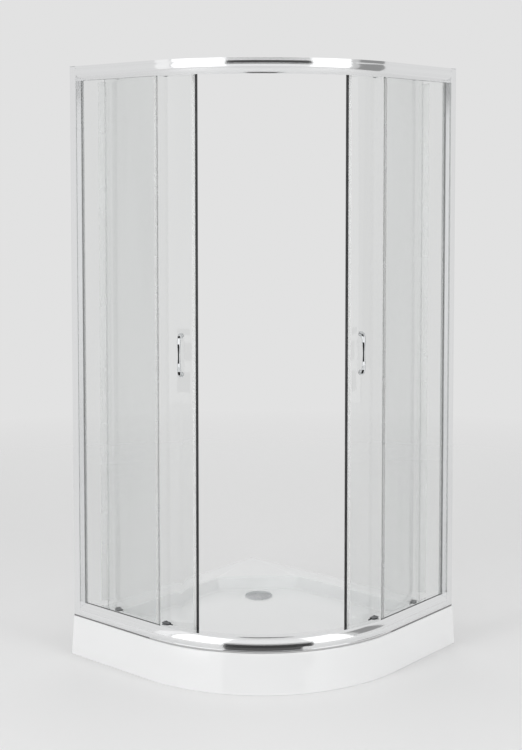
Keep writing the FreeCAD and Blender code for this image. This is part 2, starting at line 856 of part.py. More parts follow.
def make_profile_caps():
    """Caps that close the tops of the wall profiles, each with a tongue against the web."""
    web, flange = dim("wall_profile_web"), dim("wall_profile_flange")
    plate = upright_bar("cap_plate", rectangle(wall_x, profile_x, front_y, back_y), None,
                        cap_low, frame_top)
    tongue = upright_bar("cap_tongue", rectangle(wall_x + web + 0.2, wall_x + web + 3.6,
                                                 front_y + flange + 0.3, back_y - flange - 0.3),
                         None, cap_low - 7, cap_low)
    left = fused("cap_left", [plate, tongue])
    finish(group("profile_caps", [left, mirrored("cap_right", left)]))


def draw_rail_section(sketch, upside_down, mirror_x=False):
    """The rails' section: bulged face outside, glass slot, and the rollers' track open inwards."""
    wall, lip, groove = dim("rail_wall"), dim("rail_foot_lip"), dim("rail_groove")
    height, depth = dim("rail_height"), dim("rail_depth")
    slot_mid = fixed_glass_middle - rail_inside
    slot_in, slot_out = slot_mid - dim("glazing_slot") / 2, slot_mid + dim("glazing_slot") / 2
    bulge_top = slot_out + wall
    track_out = slot_out + wall
    skin = [(0, 0), (depth, 0), (depth, lip), (depth - groove, lip), (depth - groove, lip + groove),
            (depth - 0.5, lip + groove), (bulge_top, height), (slot_out, height),
            (slot_out, slot_floor), (slot_in, slot_floor), (slot_in, height), (0, height),
            (0, track_ceiling - dim("track_lip")), (wall, track_ceiling - dim("track_lip")),
            (wall, track_ceiling), (track_out, track_ceiling), (track_out, track_floor),
            (wall, track_floor), (wall, track_floor + dim("track_lip")),
            (0, track_floor + dim("track_lip"))]
    bulge = dim("rail_bulge_radius")
    chamber_out = [(track_out + wall, 12), (depth - wall - 0.7, 12), (track_out + wall, height - 9)]
    chamber_in = rectangle(wall, slot_in - wall, track_ceiling + wall, height - 7)
    flip = -1 if upside_down else 1

    def placed(outline):
        base = frame_top if upside_down else frame_bottom
        corners = []
        for u, v in outline:
            radius = rail_inside + u
            rise = base - v if upside_down else base + v
            corners.append((-radius if mirror_x else radius, rise))
        return corners

    side = -flip if mirror_x else flip
    draw_outline(sketch, placed(skin), {5: (bulge, side)})
    draw_outline(sketch, placed(chamber_out), {1: (bulge, side)})
    draw_outline(sketch, placed(chamber_in))


def make_rail(label, upside_down):
    """One bent extrusion: a quarter circle with a straight run at each end, ported for screws."""
    body = new_body(label)
    bend = new_sketch(body, "XZ_Plane")
    draw_rail_section(bend, upside_down)
    revolve(body, bend, as_size(90), reverse=True)
    right_run = new_sketch(body, "XZ_Plane")
    draw_rail_section(right_run, upside_down)
    pad(body, right_run, rail_length, True)
    left_run = new_sketch(body, "YZ_Plane")
    draw_rail_section(left_run, upside_down, mirror_x=True)
    pad(body, left_run, rail_length, True)
    ports = [(radius, frame_top - rise if upside_down else frame_bottom + rise)
             for radius, rise in screw_ports()]
    end, bore, depth = -rail_length - 1, dim("screw_port_diameter"), dim("screw_port_depth")
    drill_row(body, "XZ_Plane", end, ports, bore, depth, True)
    drill_row(body, "YZ_Plane", end, [(-radius, z) for radius, z in ports], bore, depth, True)
    body.Placement = Placement(ARC_CENTRE, Rotation())
    return finish(body)


def curved_bar(label, profile, start_angle, turn):
    """A bar bent about the quadrant's centre, from its section (radius, height)."""
    body = new_body(label)
    sketch = new_sketch(body, "XZ_Plane")
    draw_outline(sketch, profile)
    revolve(body, sketch, as_size(turn))
    body.Placement = Placement(ARC_CENTRE, Rotation(Vector(0, 0, 1), start_angle))
    return body


def make_infills():
    """Snap-in strips that close the rails' glass slots along the curve, between the fixed panes."""
    spare = dim("fixed_glass_overrun") + 1
    from_straight = degrees_along(fixed_glass_middle, spare)
    half = dim("glazing_slot") / 2 - 0.1
    inner, outer = fixed_glass_middle - half, fixed_glass_middle + half
    for label, low, high in (
            ("bottom_rail_infill", between_rails_low - 8, between_rails_low),
            ("top_rail_infill", between_rails_high, between_rails_high + 8)):
        finish(curved_bar(label, rectangle(inner, outer, low, high), -90 + from_straight,
                          90 - 2 * from_straight))


def make_door_stops():
    """Rubber blocks in the top rail's track that meet the rear wheels of the open doors."""
    wheel = SWING.multiply(on_arc(wheel_middle.value, rear_roller_angle)).Base
    wheel_reach = math.hypot(wheel_radius.value, (dim("wheel_width") / 2).value)
    near = wheel.x - wheel_reach - 0.3
    length, width, height = as_size(18), dim("wheel_seat") * 2, wheel_radius * 2
    rear = back_y - dim("rail_wall") - 3.9
    low = frame_top - track_ceiling
    corner = Vector(near - length.value, (rear - width).value, low.value)
    left = bar("stop_left", (length, width, height), Placement(corner, Rotation()))
    finish(group("door_stops", [left, mirrored("stop_right", left)]))


# ---------------------------------------------------------------- fixed panes

def make_fixed_pane():
    """Flat pane from the side post to the start of the curve, held in the slots of both rails."""
    edge_x = wall_x + fixed_glass_width
    start_x = slot_x + 1.5
    face_low, face_high = glass_y - half_glass, glass_y + half_glass
    low, high = frame_bottom + slot_floor, frame_top - slot_floor
    finish_pair(upright_bar("left_fixed_glass", rectangle(start_x, edge_x, face_low, face_high),
                            None, low, high))
    slot = dim("glazing_slot") / 2
    tip = fork_x + dim("gasket_face")
    gasket = [(slot_x, glass_y - slot), (tip, glass_y - slot), (tip, face_low), (start_x, face_low),
              (start_x, face_high), (tip, face_high), (tip, glass_y + slot), (slot_x, glass_y + slot)]
    finish_pair(upright_bar("left_glazing_gasket", gasket, None, between_rails_low, between_rails_high))
    clip = as_size(1.2)
    seal = [(edge_x - 9, face_low - clip), (edge_x + 2, face_low - clip), (edge_x + 3, face_low),
            (edge_x + 3, face_high), (edge_x + 2, face_high + clip), (edge_x - 9, face_high + clip),
            (edge_x - 9, face_high), (edge_x, face_high), (edge_x, face_low), (edge_x - 9, face_low)]
    finish_pair(upright_bar("left_fixed_edge_seal", seal, None, seal_low, seal_high))


# ---------------------------------------------------------------- doors

top_bolt_height = between_rails_high + dim("top_bolt_rise")
bottom_bolt_height = between_rails_low - dim("bottom_bolt_drop")


def roller_bolts():
    """The roller bolts of a door: (name, angle on the arc, offset along the arc, height, cap)."""
    top_cap, bottom_cap = dim("top_cap_diameter"), dim("bottom_cap_diameter")
    bolts = []
    for place, angle in (("rear", rear_roller_angle), ("front", front_roller_angle)):
        bolts.append((f"top_{place}", angle, as_size(0), top_bolt_height, top_cap))
        bolts.append((f"bottom_{place}", angle, dim("bottom_bolt_offset"), bottom_bolt_height,
                      bottom_cap))
    return bolts


def shifted(angle, offset):
    """An angle moved along the door's outer face by a length."""
    return angle + degrees_along(door_outside, offset)


def make_door_glass():
    """Curved pane bored for the roller bolts and the handle bolts."""
    pane = curved_bar("door_pane", rectangle(door_inside, door_outside, door_low, door_high),
                      trail_angle, dim("door_angle"))
    drills = []
    for name, angle, offset, height, _ in roller_bolts():
        spot = on_arc(door_inside.value - 5, shifted(angle, offset), height.value)
        drills.append(cylinder(f"bore_{name}", dim("roller_bolt_diameter") + dim("roller_bolt_gap") * 2,
                               dim("glass_thickness") + 10,
                               spot.multiply(Placement(Vector(), OUTWARD))))
    for number, height in enumerate(handle_bolt_heights(), start=1):
        spot = on_arc(door_inside.value - 5, handle_angle, height.value)
        drills.append(cylinder(f"bore_handle_{number}", dim("handle_bolt_diameter") + 1,
                               dim("glass_thickness") + 10,
                               spot.multiply(Placement(Vector(), OUTWARD))))
    glass = cut("left_door_glass", pane, fused("door_bores", drills))
    glass.Placement = SWING
    finish_pair(glass)


def handle_bolt_heights():
    half = dim("handle_pitch") / 2
    return [dim("handle_height") - half, dim("handle_height") + half]


def make_door_seals():
    """Clip-on seals: a clear carrier with a black magnet in front, a finned strip behind."""
    inner, outer = half_glass + 0.15, half_glass + 1.35
    base = as_size(1.5)
    carrier = [(-outer, -9), (-outer, base), (outer, base), (outer, -9), (inner, -9), (inner, 0.15),
               (-inner, 0.15), (-inner, -9)]
    front = upright_bar("left_magnet_carrier", carrier, None, door_low, door_high)
    finish_pair(hide_in_open_door(front, on_arc(door_middle.value, lead_angle)))
    tip = dim("door_meeting_gap") - 0.2
    strip = [(-outer + 0.3, base), (-outer + 0.3, tip - 1), (-outer + 1.3, tip), (outer - 1.3, tip),
             (outer - 0.3, tip - 1), (outer - 0.3, base)]
    magnet = upright_bar("left_magnet_strip", strip, None, door_low, door_high)
    finish_pair(hide_in_open_door(magnet, on_arc(door_middle.value, lead_angle)))
    reach = fixed_glass_middle - door_middle - half_glass - 7
    fin = [(-outer, -1.5), (reach, -1.5), (reach, -0.5), (outer, -0.3), (outer, 9), (inner, 9),
           (inner, -0.15), (-inner, -0.15), (-inner, 9), (-outer, 9)]
    rear = upright_bar("left_trailing_seal", fin, None, seal_low, seal_high)
    finish_pair(hide_in_open_door(rear, on_arc(door_middle.value, trail_angle)))


def cone(name, low_diameter, high_diameter, length, placement):
    made = doc.addObject("Part::Cone", name)
    for prop, size in (("Radius1", as_size(low_diameter) / 2), ("Radius2", as_size(high_diameter) / 2),
                       ("Height", as_size(length))):
        setattr(made, prop, size.value)
        made.setExpression(prop, size.formula)
    made.Placement = placement
    return made


def make_handle():
    """Low bow: two round feet, sloping shoulders, and a grip that is waisted in the middle."""
    reach, half = dim("handle_reach").value, dim("handle_pitch").value / 2
    grip, thick = dim("handle_grip_length").value / 2, dim("handle_end_diameter")
    foot, foot_length = dim("handle_foot_diameter"), dim("handle_reach") - 1.4
    shoulder, lap = thick + 0.3, 1.4
    drop, rise = thick.value / 2 + 1.5, half - grip
    slope = math.degrees(math.atan2(drop, rise))
    members = []
    for name, side in (("low", -1), ("high", 1)):
        turned = 0 if side > 0 else 180
        lean = Rotation(Vector(0, 1, 0), turned - side * slope)
        knee = Placement(Vector(reach, 0, side * grip), lean)
        members += [
            cone(f"grip_{name}", dim("handle_waist_diameter"), thick, grip + 0.5,
                 Placement(Vector(reach, 0, 0), Rotation(Vector(1, 0, 0), turned))),
            cylinder(f"shoulder_{name}", shoulder, math.hypot(drop, rise) + lap,
                     knee.multiply(raised(-lap))),
            cone(f"foot_{name}", foot, foot - 5, foot_length,
                 Placement(Vector(0.2, 0, side * half), OUTWARD))]
    handle = fused("left_handle", members)
    place = on_arc(door_outside.value, handle_angle, dim("handle_height").value)
    finish_pair(hide_in_open_door(handle, place))


def cap_bolt(name, shank_diameter, shank_end, head_diameter, head_height):
    """Bolt from inside the door: a capped head on the glass and a shank out to shank_end."""
    start = -dim("glass_thickness") - 0.2
    shank = cylinder(f"{name}_shank", shank_diameter, shank_end - start,
                     Placement(Vector(start.value, 0, 0), OUTWARD))
    head_start = start - head_height
    head = cone(f"{name}_head", head_diameter - 5, head_diameter, head_height,
                Placement(Vector(head_start.value, 0, 0), OUTWARD))
    return fused(name, [shank, head])


def make_door_bolts():
    rollers, handles = [], []
    for name, angle, offset, height, cap in roller_bolts():
        bolt = cap_bolt(f"roller_bolt_{name}", dim("roller_bolt_diameter"), as_size(0.2), cap,
                        as_size(5))
        place = on_arc(door_outside.value, shifted(angle, offset), height.value)
        rollers.append(hide_in_open_door(bolt, place))
    for number, height in enumerate(handle_bolt_heights(), start=1):
        bolt = cap_bolt(f"handle_bolt_{number}", dim("handle_bolt_diameter"), as_size(0),
                        dim("handle_cap_diameter"), as_size(4))
        place = on_arc(door_outside.value, handle_angle, height.value)
        handles.append(hide_in_open_door(bolt, place))
    finish_pair(group("left_roller_bolts", rollers))
    finish_pair(group("left_handle_bolts", handles))


# ---------------------------------------------------------------- rollers

plate_near = as_size(0.3)
plate_far = plate_near + dim("plate_thickness")
wheel_out = wheel_middle - door_outside + dim("wheel_width") / 2
wheel_in = wheel_out - dim("wheel_width")


def axle(name, height):
    """Stub axle from a roller plate out to the track, with a collar and a head beside the wheel."""
    gap, collar = dim("wheel_gap"), as_size(0.8)

    def spot(start):
        return Placement(Vector(start.value, 0, height.value), OUTWARD)

    start, end = plate_far - 0.5, wheel_out + gap + collar
    across = dim("axle_diameter") + 3
    return [cylinder(f"{name}_pin", dim("axle_diameter"), end - start, spot(start)),
            hexagon(f"{name}_collar", across, collar, spot(wheel_in - gap - collar)),
            hexagon(f"{name}_head", across, collar, spot(wheel_out + gap))]


def make_top_bracket(place, angle):
    """Plate bolted to the glass, its stub axle carries the wheel on the top rail's track."""
    plate = new_body(f"top_plate_{place}")
    sketch = new_sketch(plate, "YZ_Plane", plate_near)
    half, corner = as_size(9), as_size(4)
    low, high = top_bolt_height - half, top_axle_height + 7
    draw_outline(sketch, [(half, low + corner), (half, high - corner), (half - corner, high),
                          (corner - half, high), (-half, high - corner), (-half, low + corner),
                          (corner - half, low), (half - corner, low)])
    pad(plate, sketch, dim("plate_thickness"))
    bracket = fused(f"top_bracket_{place}", [plate] + axle(f"top_axle_{place}", top_axle_height))
    return hide_in_open_door(bracket, on_arc(door_outside.value, angle))


def make_wheel(label, angle, height):
    """Plain plastic wheel that runs on its stub axle."""
    body = new_body(label)
    half = dim("wheel_width") / 2
    bore = dim("axle_diameter") / 2 + 0.05
    sketch = new_sketch(body, "XY_Plane")
    draw_outline(sketch, rectangle(-half, half, bore, wheel_radius))
    revolve(body, sketch, as_size(360), axis="H_Axis")
    finish_pair(hide_in_open_door(body, on_arc(wheel_middle.value, angle, height.value)))


slider_half = dim("slider_width") / 2
guide_half = slider_half + 0.25


def make_bottom_housing(place, angle):
    """Moulded guide on the glass over the bottom rail, with a plate for its bolt behind the rail."""
    body = new_body(f"housing_{place}")
    wall_side, free_side = -dim("housing_wall_side"), dim("housing_free_side")
    low = between_rails_low + dim("housing_gap")
    high = low + dim("housing_height")
    block = new_sketch(body, "YZ_Plane", plate_near)
    draw_outline(block, [(wall_side, low), (free_side, low), (free_side, low + 1), (guide_half, high),
                         (wall_side, high)])
    pad(body, block, dim("housing_depth"))
    near, wide = guide_half + 0.75, dim("bottom_bolt_offset") + 7
    bottom, shelf = bottom_bolt_height - 8, between_rails_low - 2
    plate = new_sketch(body, "YZ_Plane", plate_near)
    draw_outline(plate, [(near, bottom), (wide, bottom), (wide, shelf), (free_side, shelf),
                         (free_side, low + 0.5), (near, low + 0.5)])
    pad(body, plate, dim("housing_plate"))
    doc.recompute()
    before = body.Shape.Volume
    guide = new_sketch(body, "XY_Plane", low - 1)
    draw_outline(guide, rectangle(as_size(0), plate_far + 0.3, -guide_half, guide_half))
    cut_checked(body, pocket(body, guide, high - low + 2, True), before)
    return hide_in_open_door(body, on_arc(door_outside.value, angle))


def make_release(place, angle):
    """Sprung slider: its foot carries the bottom wheel, its finger stands above the housing."""
    plate = new_body(f"slider_{place}")
    low, tip = bottom_axle_height - 5, between_rails_low + dim("finger_rise")
    sketch = new_sketch(plate, "YZ_Plane", plate_near + 0.1)
    draw_outline(sketch, [(slider_half, low), (slider_half, tip - 2.5), (-1.5, tip),
                          (-slider_half, tip), (-slider_half, low)])
    pad(plate, sketch, dim("plate_thickness") - 0.1)
    slider = fused(f"left_release_{place}",
                   [plate] + axle(f"bottom_axle_{place}", bottom_axle_height))
    finish_pair(hide_in_open_door(slider, on_arc(door_outside.value, angle)))


def make_rollers():
    tops, housings = [], []
    for place, angle in (("rear", rear_roller_angle), ("front", front_roller_angle)):
        tops.append(make_top_bracket(place, angle))
        housings.append(make_bottom_housing(place, angle))
        make_release(place, angle)
        make_wheel(f"left_top_wheel_{place}", angle, top_axle_height)
        make_wheel(f"left_bottom_wheel_{place}", angle, bottom_axle_height)
    finish_pair(group("left_top_brackets", tops))
    finish_pair(group("left_bottom_housings", housings))


# ---------------------------------------------------------------- the whole enclosure

make_tray()
make_base_board()
make_feet()
make_waste()
make_wall_profile()
make_side_post()
make_frame_screws()
make_profile_caps()
make_rail("bottom_rail", False)
make_rail("top_rail", True)
make_infills()
make_door_stops()
make_fixed_pane()
make_door_glass()
make_door_seals()
make_handle()
make_door_bolts()
make_rollers()
doc.recompute()

failed = [item.Label for item in doc.Objects if "Invalid" in item.State or "Error" in item.State]
if failed:
    raise RuntimeError(f"failed: {failed}")
os.makedirs("parts", exist_ok=True)
failed = [piece.Label for piece in finished if piece.Shape.isNull() or not piece.Shape.isValid()]
if failed:
    raise RuntimeError(f"no valid shape: {failed}")
for piece in finished:
    piece.Shape.exportStep(f"parts/{piece.Label}.step")
print(f"{len(finished)} nodes, door pivot {PIVOT.x:.4f} {PIVOT.y:.4f}")
print(f"door swing {math.degrees(-TURN):.4f} degrees")
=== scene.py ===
"""A quadrant shower enclosure, dressed for its picture: white tray, bright rails, clear glass."""
import json
import math

import bmesh
import bpy
from mathutils import Matrix, Vector


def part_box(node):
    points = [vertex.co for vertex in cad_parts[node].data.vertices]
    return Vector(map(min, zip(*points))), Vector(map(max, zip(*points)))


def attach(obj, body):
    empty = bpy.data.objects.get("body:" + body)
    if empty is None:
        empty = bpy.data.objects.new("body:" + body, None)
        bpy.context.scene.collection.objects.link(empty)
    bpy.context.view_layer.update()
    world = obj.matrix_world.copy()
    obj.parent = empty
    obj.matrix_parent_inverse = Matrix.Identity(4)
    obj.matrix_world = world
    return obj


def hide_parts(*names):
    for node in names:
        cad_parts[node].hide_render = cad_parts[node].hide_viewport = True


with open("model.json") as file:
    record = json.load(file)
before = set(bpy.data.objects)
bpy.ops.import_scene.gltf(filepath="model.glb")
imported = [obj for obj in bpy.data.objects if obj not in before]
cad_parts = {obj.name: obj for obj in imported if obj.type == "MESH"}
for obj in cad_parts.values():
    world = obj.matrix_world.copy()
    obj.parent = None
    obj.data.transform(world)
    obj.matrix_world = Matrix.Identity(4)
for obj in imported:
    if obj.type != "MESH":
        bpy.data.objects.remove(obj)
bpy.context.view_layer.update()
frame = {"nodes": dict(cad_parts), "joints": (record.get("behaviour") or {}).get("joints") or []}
nodes = frame["nodes"]


# ---------------------------------------------------------------- camera
# It stands in front of the doorway, a little to the left of the enclosure's own middle line, at head
# height. The lens looks down a little, and its image frame is shifted to keep the posts nearly upright.

IMAGE_LONG_SIDE = 750.0
SENSOR = 36.0
FOCAL_PIXELS = 1350.13
OPTICAL_AXIS_X = 265.26
IMAGE_MIDDLE_X = 261.0
CAMERA_DISTANCE = 4.3946
CAMERA_HEIGHT = 1.5781
CAMERA_AZIMUTH = math.radians(40.5155)
CAMERA_TILT = math.radians(3.5222)
FRAME_DROP = 0.16
FARTHEST_SEEN = 60.0

lens = bpy.data.cameras.new("camera")
lens.sensor_width = SENSOR
lens.lens = FOCAL_PIXELS * SENSOR / IMAGE_LONG_SIDE
lens.shift_x = (IMAGE_MIDDLE_X - OPTICAL_AXIS_X) / IMAGE_LONG_SIDE
lens.shift_y = -FRAME_DROP
lens.clip_end = FARTHEST_SEEN
camera = bpy.data.objects.new("camera", lens)
camera.location = (CAMERA_DISTANCE * math.sin(CAMERA_AZIMUTH),
                   -CAMERA_DISTANCE * math.cos(CAMERA_AZIMUTH), CAMERA_HEIGHT)
camera.rotation_euler = (math.radians(90) - CAMERA_TILT, 0, CAMERA_AZIMUTH)
bpy.context.scene.collection.objects.link(camera)
bpy.context.scene.camera = camera


# ---------------------------------------------------------------- shader writing, for every section
# Each finish below is one material: a Principled shader, with patterns in the frame's own metres.

class Field:
    """A value that varies over a surface. Arithmetic on it adds Math nodes."""

    def __init__(self, finish, socket):
        self.finish = finish
        self.socket = socket

    def _maths(self, operation, first, second):
        return self.finish.node("ShaderNodeMath", {"operation": operation}, {0: first, 1: second})

    def __add__(self, other):
        return self._maths("ADD", self, other)

    def __sub__(self, other):
        return self._maths("SUBTRACT", self, other)

    def __mul__(self, other):
        return self._maths("MULTIPLY", self, other)

    def __rsub__(self, other):
        return self._maths("SUBTRACT", other, self)

    def __gt__(self, other):
        return self._maths("GREATER_THAN", self, other)

    def __lt__(self, other):
        return self._maths("LESS_THAN", self, other)

    __radd__ = __add__
    __rmul__ = __mul__

    def at_least(self, other):
        return self._maths("MAXIMUM", self, other)

    def power(self, other):
        return self._maths("POWER", self, other)


class Finish:
    """A material in the making."""

    def __init__(self, name, **constants):
        self.material = bpy.data.materials.new(name)
        self.material.use_nodes = True
        self.tree = self.material.node_tree
        self.shader = self.tree.nodes["Principled BSDF"]
        self.output = self.tree.nodes["Material Output"]
        for socket, value in constants.items():
            self.shader.inputs[socket.replace("_", " ")].default_value = value

    def feed(self, socket, value):
        if isinstance(value, Field):
            self.tree.links.new(value.socket, socket)
        else:
            socket.default_value = value

    def node(self, kind, settings=None, inputs=None, output=0):
        """Any node: its settings first, then the values or links of its sockets."""
        made = self.tree.nodes.new(kind)
        for name, value in (settings or {}).items():
            if name == "stops":
                for element, (position, colour) in zip(made.color_ramp.elements, value):
                    element.position = position
                    element.color = colour
            else:
                setattr(made, name, value)
        for name, value in (inputs or {}).items():
            self.feed(made.inputs[name], value)
        return Field(self, made.outputs[output])

    def place(self):
        """The point on the surface, in the frame's metres."""
        return self.node("ShaderNodeTexCoord", output="Object")

    def axes(self, vector):
        """The three parts of a vector."""
        split = self.node("ShaderNodeSeparateXYZ", None, {0: vector}).socket.node
        return [Field(self, socket) for socket in split.outputs]

    def vector(self, x, y, z):
        return self.node("ShaderNodeCombineXYZ", None, {0: x, 1: y, 2: z})

    def stretched(self, vector, scale):
        """A place whose three parts are counted in different steps, for a pattern with a grain."""
        return self.node("ShaderNodeMapping", None, {"Vector": vector, "Scale": scale})

    def noise(self, vector, scale, detail=2.0, roughness=0.5):
        return self.node("ShaderNodeTexNoise", None,
                         {"Vector": vector, "Scale": scale, "Detail": detail, "Roughness": roughness})

    def ramp(self, value, low, high, to_low=0.0, to_high=1.0):
        """A value carried from one range to another, and held at its ends."""
        return self.node("ShaderNodeMapRange", None, {"Value": value, "From Min": low, "From Max": high,
                                                      "To Min": to_low, "To Max": to_high})

    def colour(self, factor, first, second):
        """A colour between two, by a factor."""
        return self.node("ShaderNodeMix", {"data_type": "RGBA"}, {0: factor, 6: first, 7: second}, 2)

    def bump(self, height, distance, strength=1.0):
        return self.node("ShaderNodeBump", None,
                         {"Height": height, "Distance": distance, "Strength": strength})

    def show(self, **channels):
        """Feeds the shader's channels."""
        for channel, value in channels.items():
            self.feed(self.shader.inputs[channel.replace("_", " ")], value)
        return self


def grey(value, alpha=1.0):
    return value, value, value, alpha


def dress(finish, *names):
    """Gives these CAD nodes a finish."""
    for name in names:
        piece = nodes[name]
        piece.data.materials.clear()
        piece.data.materials.append(finish.material)


# ---------------------------------------------------------------- eased surfaces
# Pressed, drawn and blown surfaces are smooth: only edges sharper than this stay crisp.

CRISP_EDGE = math.radians(28)
SAME_POINT = 0.00001


def eased_surface_tree():
    """A tree that joins a mesh's loose triangles and shades all but its crisp edges smooth."""
    tree = bpy.data.node_groups.new("eased_surface", "GeometryNodeTree")
    tree.interface.new_socket("Geometry", in_out="INPUT", socket_type="NodeSocketGeometry")
    tree.interface.new_socket("Crisp Edge", in_out="INPUT", socket_type="NodeSocketFloat")
    tree.interface.new_socket("Same Point", in_out="INPUT", socket_type="NodeSocketFloat")
    tree.interface.new_socket("Geometry", in_out="OUTPUT", socket_type="NodeSocketGeometry")
    start = tree.nodes.new("NodeGroupInput")
    merge = tree.nodes.new("GeometryNodeMergeByDistance")
    angle = tree.nodes.new("GeometryNodeInputMeshEdgeAngle")
    gentle = tree.nodes.new("FunctionNodeCompare")
    gentle.operation = "LESS_EQUAL"
    faces = tree.nodes.new("GeometryNodeSetShadeSmooth")
    edges = tree.nodes.new("GeometryNodeSetShadeSmooth")
    edges.domain = "EDGE"
    end = tree.nodes.new("NodeGroupOutput")
    join = tree.links.new
    join(start.outputs["Geometry"], merge.inputs["Geometry"])
    join(start.outputs["Same Point"], merge.inputs["Distance"])
    join(merge.outputs["Geometry"], faces.inputs["Geometry"])
    join(faces.outputs["Geometry"], edges.inputs["Geometry"])
    join(angle.outputs["Unsigned Angle"], gentle.inputs["A"])
    join(start.outputs["Crisp Edge"], gentle.inputs["B"])
    join(gentle.outputs["Result"], edges.inputs["Shade Smooth"])
    join(edges.outputs["Geometry"], end.inputs["Geometry"])
    return tree


eased_surface = eased_surface_tree()


def set_inputs(modifier, **values):
    """Sets a Geometry Nodes modifier's named inputs, by their identifiers."""
    for item in modifier.node_group.interface.items_tree:
        if item.item_type == "SOCKET" and item.in_out == "INPUT" and item.name.replace(" ", "_") in values:
            modifier[item.identifier] = values[item.name.replace(" ", "_")]


for piece in nodes.values():
    easing = piece.modifiers.new("eased_surface", "NODES")
    easing.node_group = eased_surface
    set_inputs(easing, Crisp_Edge=CRISP_EDGE, Same_Point=SAME_POINT)


# ---------------------------------------------------------------- studio
# A pale floor that fades into the pale air round it, soft boxes overhead, at both sides and behind.
# Polished metal and glass see bright screens round the front too, and dark strips in their middle.

BACKGROUND = 0.76
FLOOR_TONE = 0.82
FLOOR_SIZE = 14.0
FLOOR_FADE_START = 1.0
FLOOR_FADE_END = 4.5
FLOOR_DEPTH = 0.0005
AIR_LIGHT = 0.56
LAMPS_AIM_AT = Vector((0, 0, 0.9))
# Each lamp: its name, turn from the camera's side, distance, height, width, tallness and watts.
LAMPS = (("lamp_overhead", 0, 0.6, 4.4, 3.2, 3.2, 27),
         ("lamp_left", -48, 4.1, 2.0, 1.5, 3.4, 63),
         ("lamp_right", 48, 4.1, 2.0, 1.5, 3.4, 54),
         ("lamp_rear", 180, 3.9, 3.2, 3.0, 3.0, 24))
# Each screen: its name, first and last turn, distance, lowest and highest point, brightness, columns.
SCREENS = (("soft_left", -76.0, -64.0, 5.4, 0.0, 6.5, 0.95, 16),
           ("screen_left", -62.5, -23.9, 5.4, 0.0, 6.5, 1.35, 16),
           ("screen_middle", -23.9, 32.5, 5.4, 0.0, 6.5, 0.86, 16),
           ("screen_right", 32.5, 64.0, 5.4, 0.0, 6.5, 1.35, 16),
           ("edge_left", -64.0, -62.5, 5.3, 0.0, 6.5, 0.55, 2),
           ("edge_right", 64.0, 65.5, 5.3, 0.0, 6.5, 0.25, 2),
           ("grey_right", 60.5, 67.0, 3.2, 0.55, 2.6, 0.60, 4),
           ("dark_right", 67.0, 89.0, 3.2, 0.55, 2.6, 0.30, 6),
           ("dark_high", -22.2, 30.3, 1.2, 1.995, 2.56, 0.06, 8),
           ("dark_middle", -22.2, 30.3, 1.2, 1.872, 1.955, 0.12, 8),
           ("dark_low", -22.0, 28.2, 0.78, 0.0, 0.19, 0.05, 8),
           ("half_dark_low", -22.0, 28.2, 0.78, 0.19, 0.27, 0.45, 8))
# The sheet on the floor: its distance and half width at both ends.
FLOOR_SHEET = ((0.415, 0.14), (0.78, 0.33))
FLOOR_SHEET_HEIGHT = 0.004
FLOOR_SHEET_BRIGHTNESS = 0.10

world = bpy.data.worlds.new("studio_air")
world.use_nodes = True
bpy.context.scene.world = world
air = world.node_tree
lit_air = air.nodes["Background"]
lit_air.inputs["Color"].default_value = grey(1.0)
lit_air.inputs["Strength"].default_value = AIR_LIGHT
seen_air = air.nodes.new("ShaderNodeBackground")
seen_air.inputs["Color"].default_value = grey(BACKGROUND)
ray = air.nodes.new("ShaderNodeLightPath")
seen_or_mirrored = air.nodes.new("ShaderNodeMath")
seen_or_mirrored.operation = "ADD"
through_glass_too = air.nodes.new("ShaderNodeMath")
through_glass_too.operation = "ADD"
through_glass_too.use_clamp = True
air.links.new(ray.outputs["Is Camera Ray"], seen_or_mirrored.inputs[0])
air.links.new(ray.outputs["Is Glossy Ray"], seen_or_mirrored.inputs[1])
air.links.new(seen_or_mirrored.outputs[0], through_glass_too.inputs[0])
air.links.new(ray.outputs["Is Transmission Ray"], through_glass_too.inputs[1])
choice = air.nodes.new("ShaderNodeMixShader")
air.links.new(through_glass_too.outputs[0], choice.inputs["Fac"])
air.links.new(lit_air.outputs[0], choice.inputs[1])
air.links.new(seen_air.outputs[0], choice.inputs[2])
air.links.new(choice.outputs[0], air.nodes["World Output"].inputs["Surface"])

HALF_FLOOR = FLOOR_SIZE / 2
floor_mesh = bpy.data.meshes.new("floor")
floor_mesh.from_pydata([(-HALF_FLOOR, -HALF_FLOOR, 0), (HALF_FLOOR, -HALF_FLOOR, 0),
                        (HALF_FLOOR, HALF_FLOOR, 0), (-HALF_FLOOR, HALF_FLOOR, 0)], [], [(0, 1, 2, 3)])
floor = bpy.data.objects.new("floor", floor_mesh)
floor.location.z = -FLOOR_DEPTH
bpy.context.scene.collection.objects.link(floor)
ground = Finish("pale_floor", Roughness=0.9)
ground.shader.inputs["Base Color"].default_value = grey(FLOOR_TONE)
ground.shader.inputs["Specular IOR Level"].default_value = 0.0
ground_x, ground_y, _ = ground.axes(ground.place())
from_middle = (ground_x * ground_x + ground_y * ground_y).power(0.5)
ground.show(Alpha=ground.ramp(from_middle, FLOOR_FADE_START, FLOOR_FADE_END, 1.0, 0.0))
floor.data.materials.append(ground.material)

CAMERA_SIDE = math.degrees(CAMERA_AZIMUTH)


def around(turn_from_camera, distance, height):
    """A point round the enclosure, by its turn in degrees from the camera's side."""
    turn = math.radians(CAMERA_SIDE + turn_from_camera)
    return Vector((distance * math.sin(turn), -distance * math.cos(turn), height))


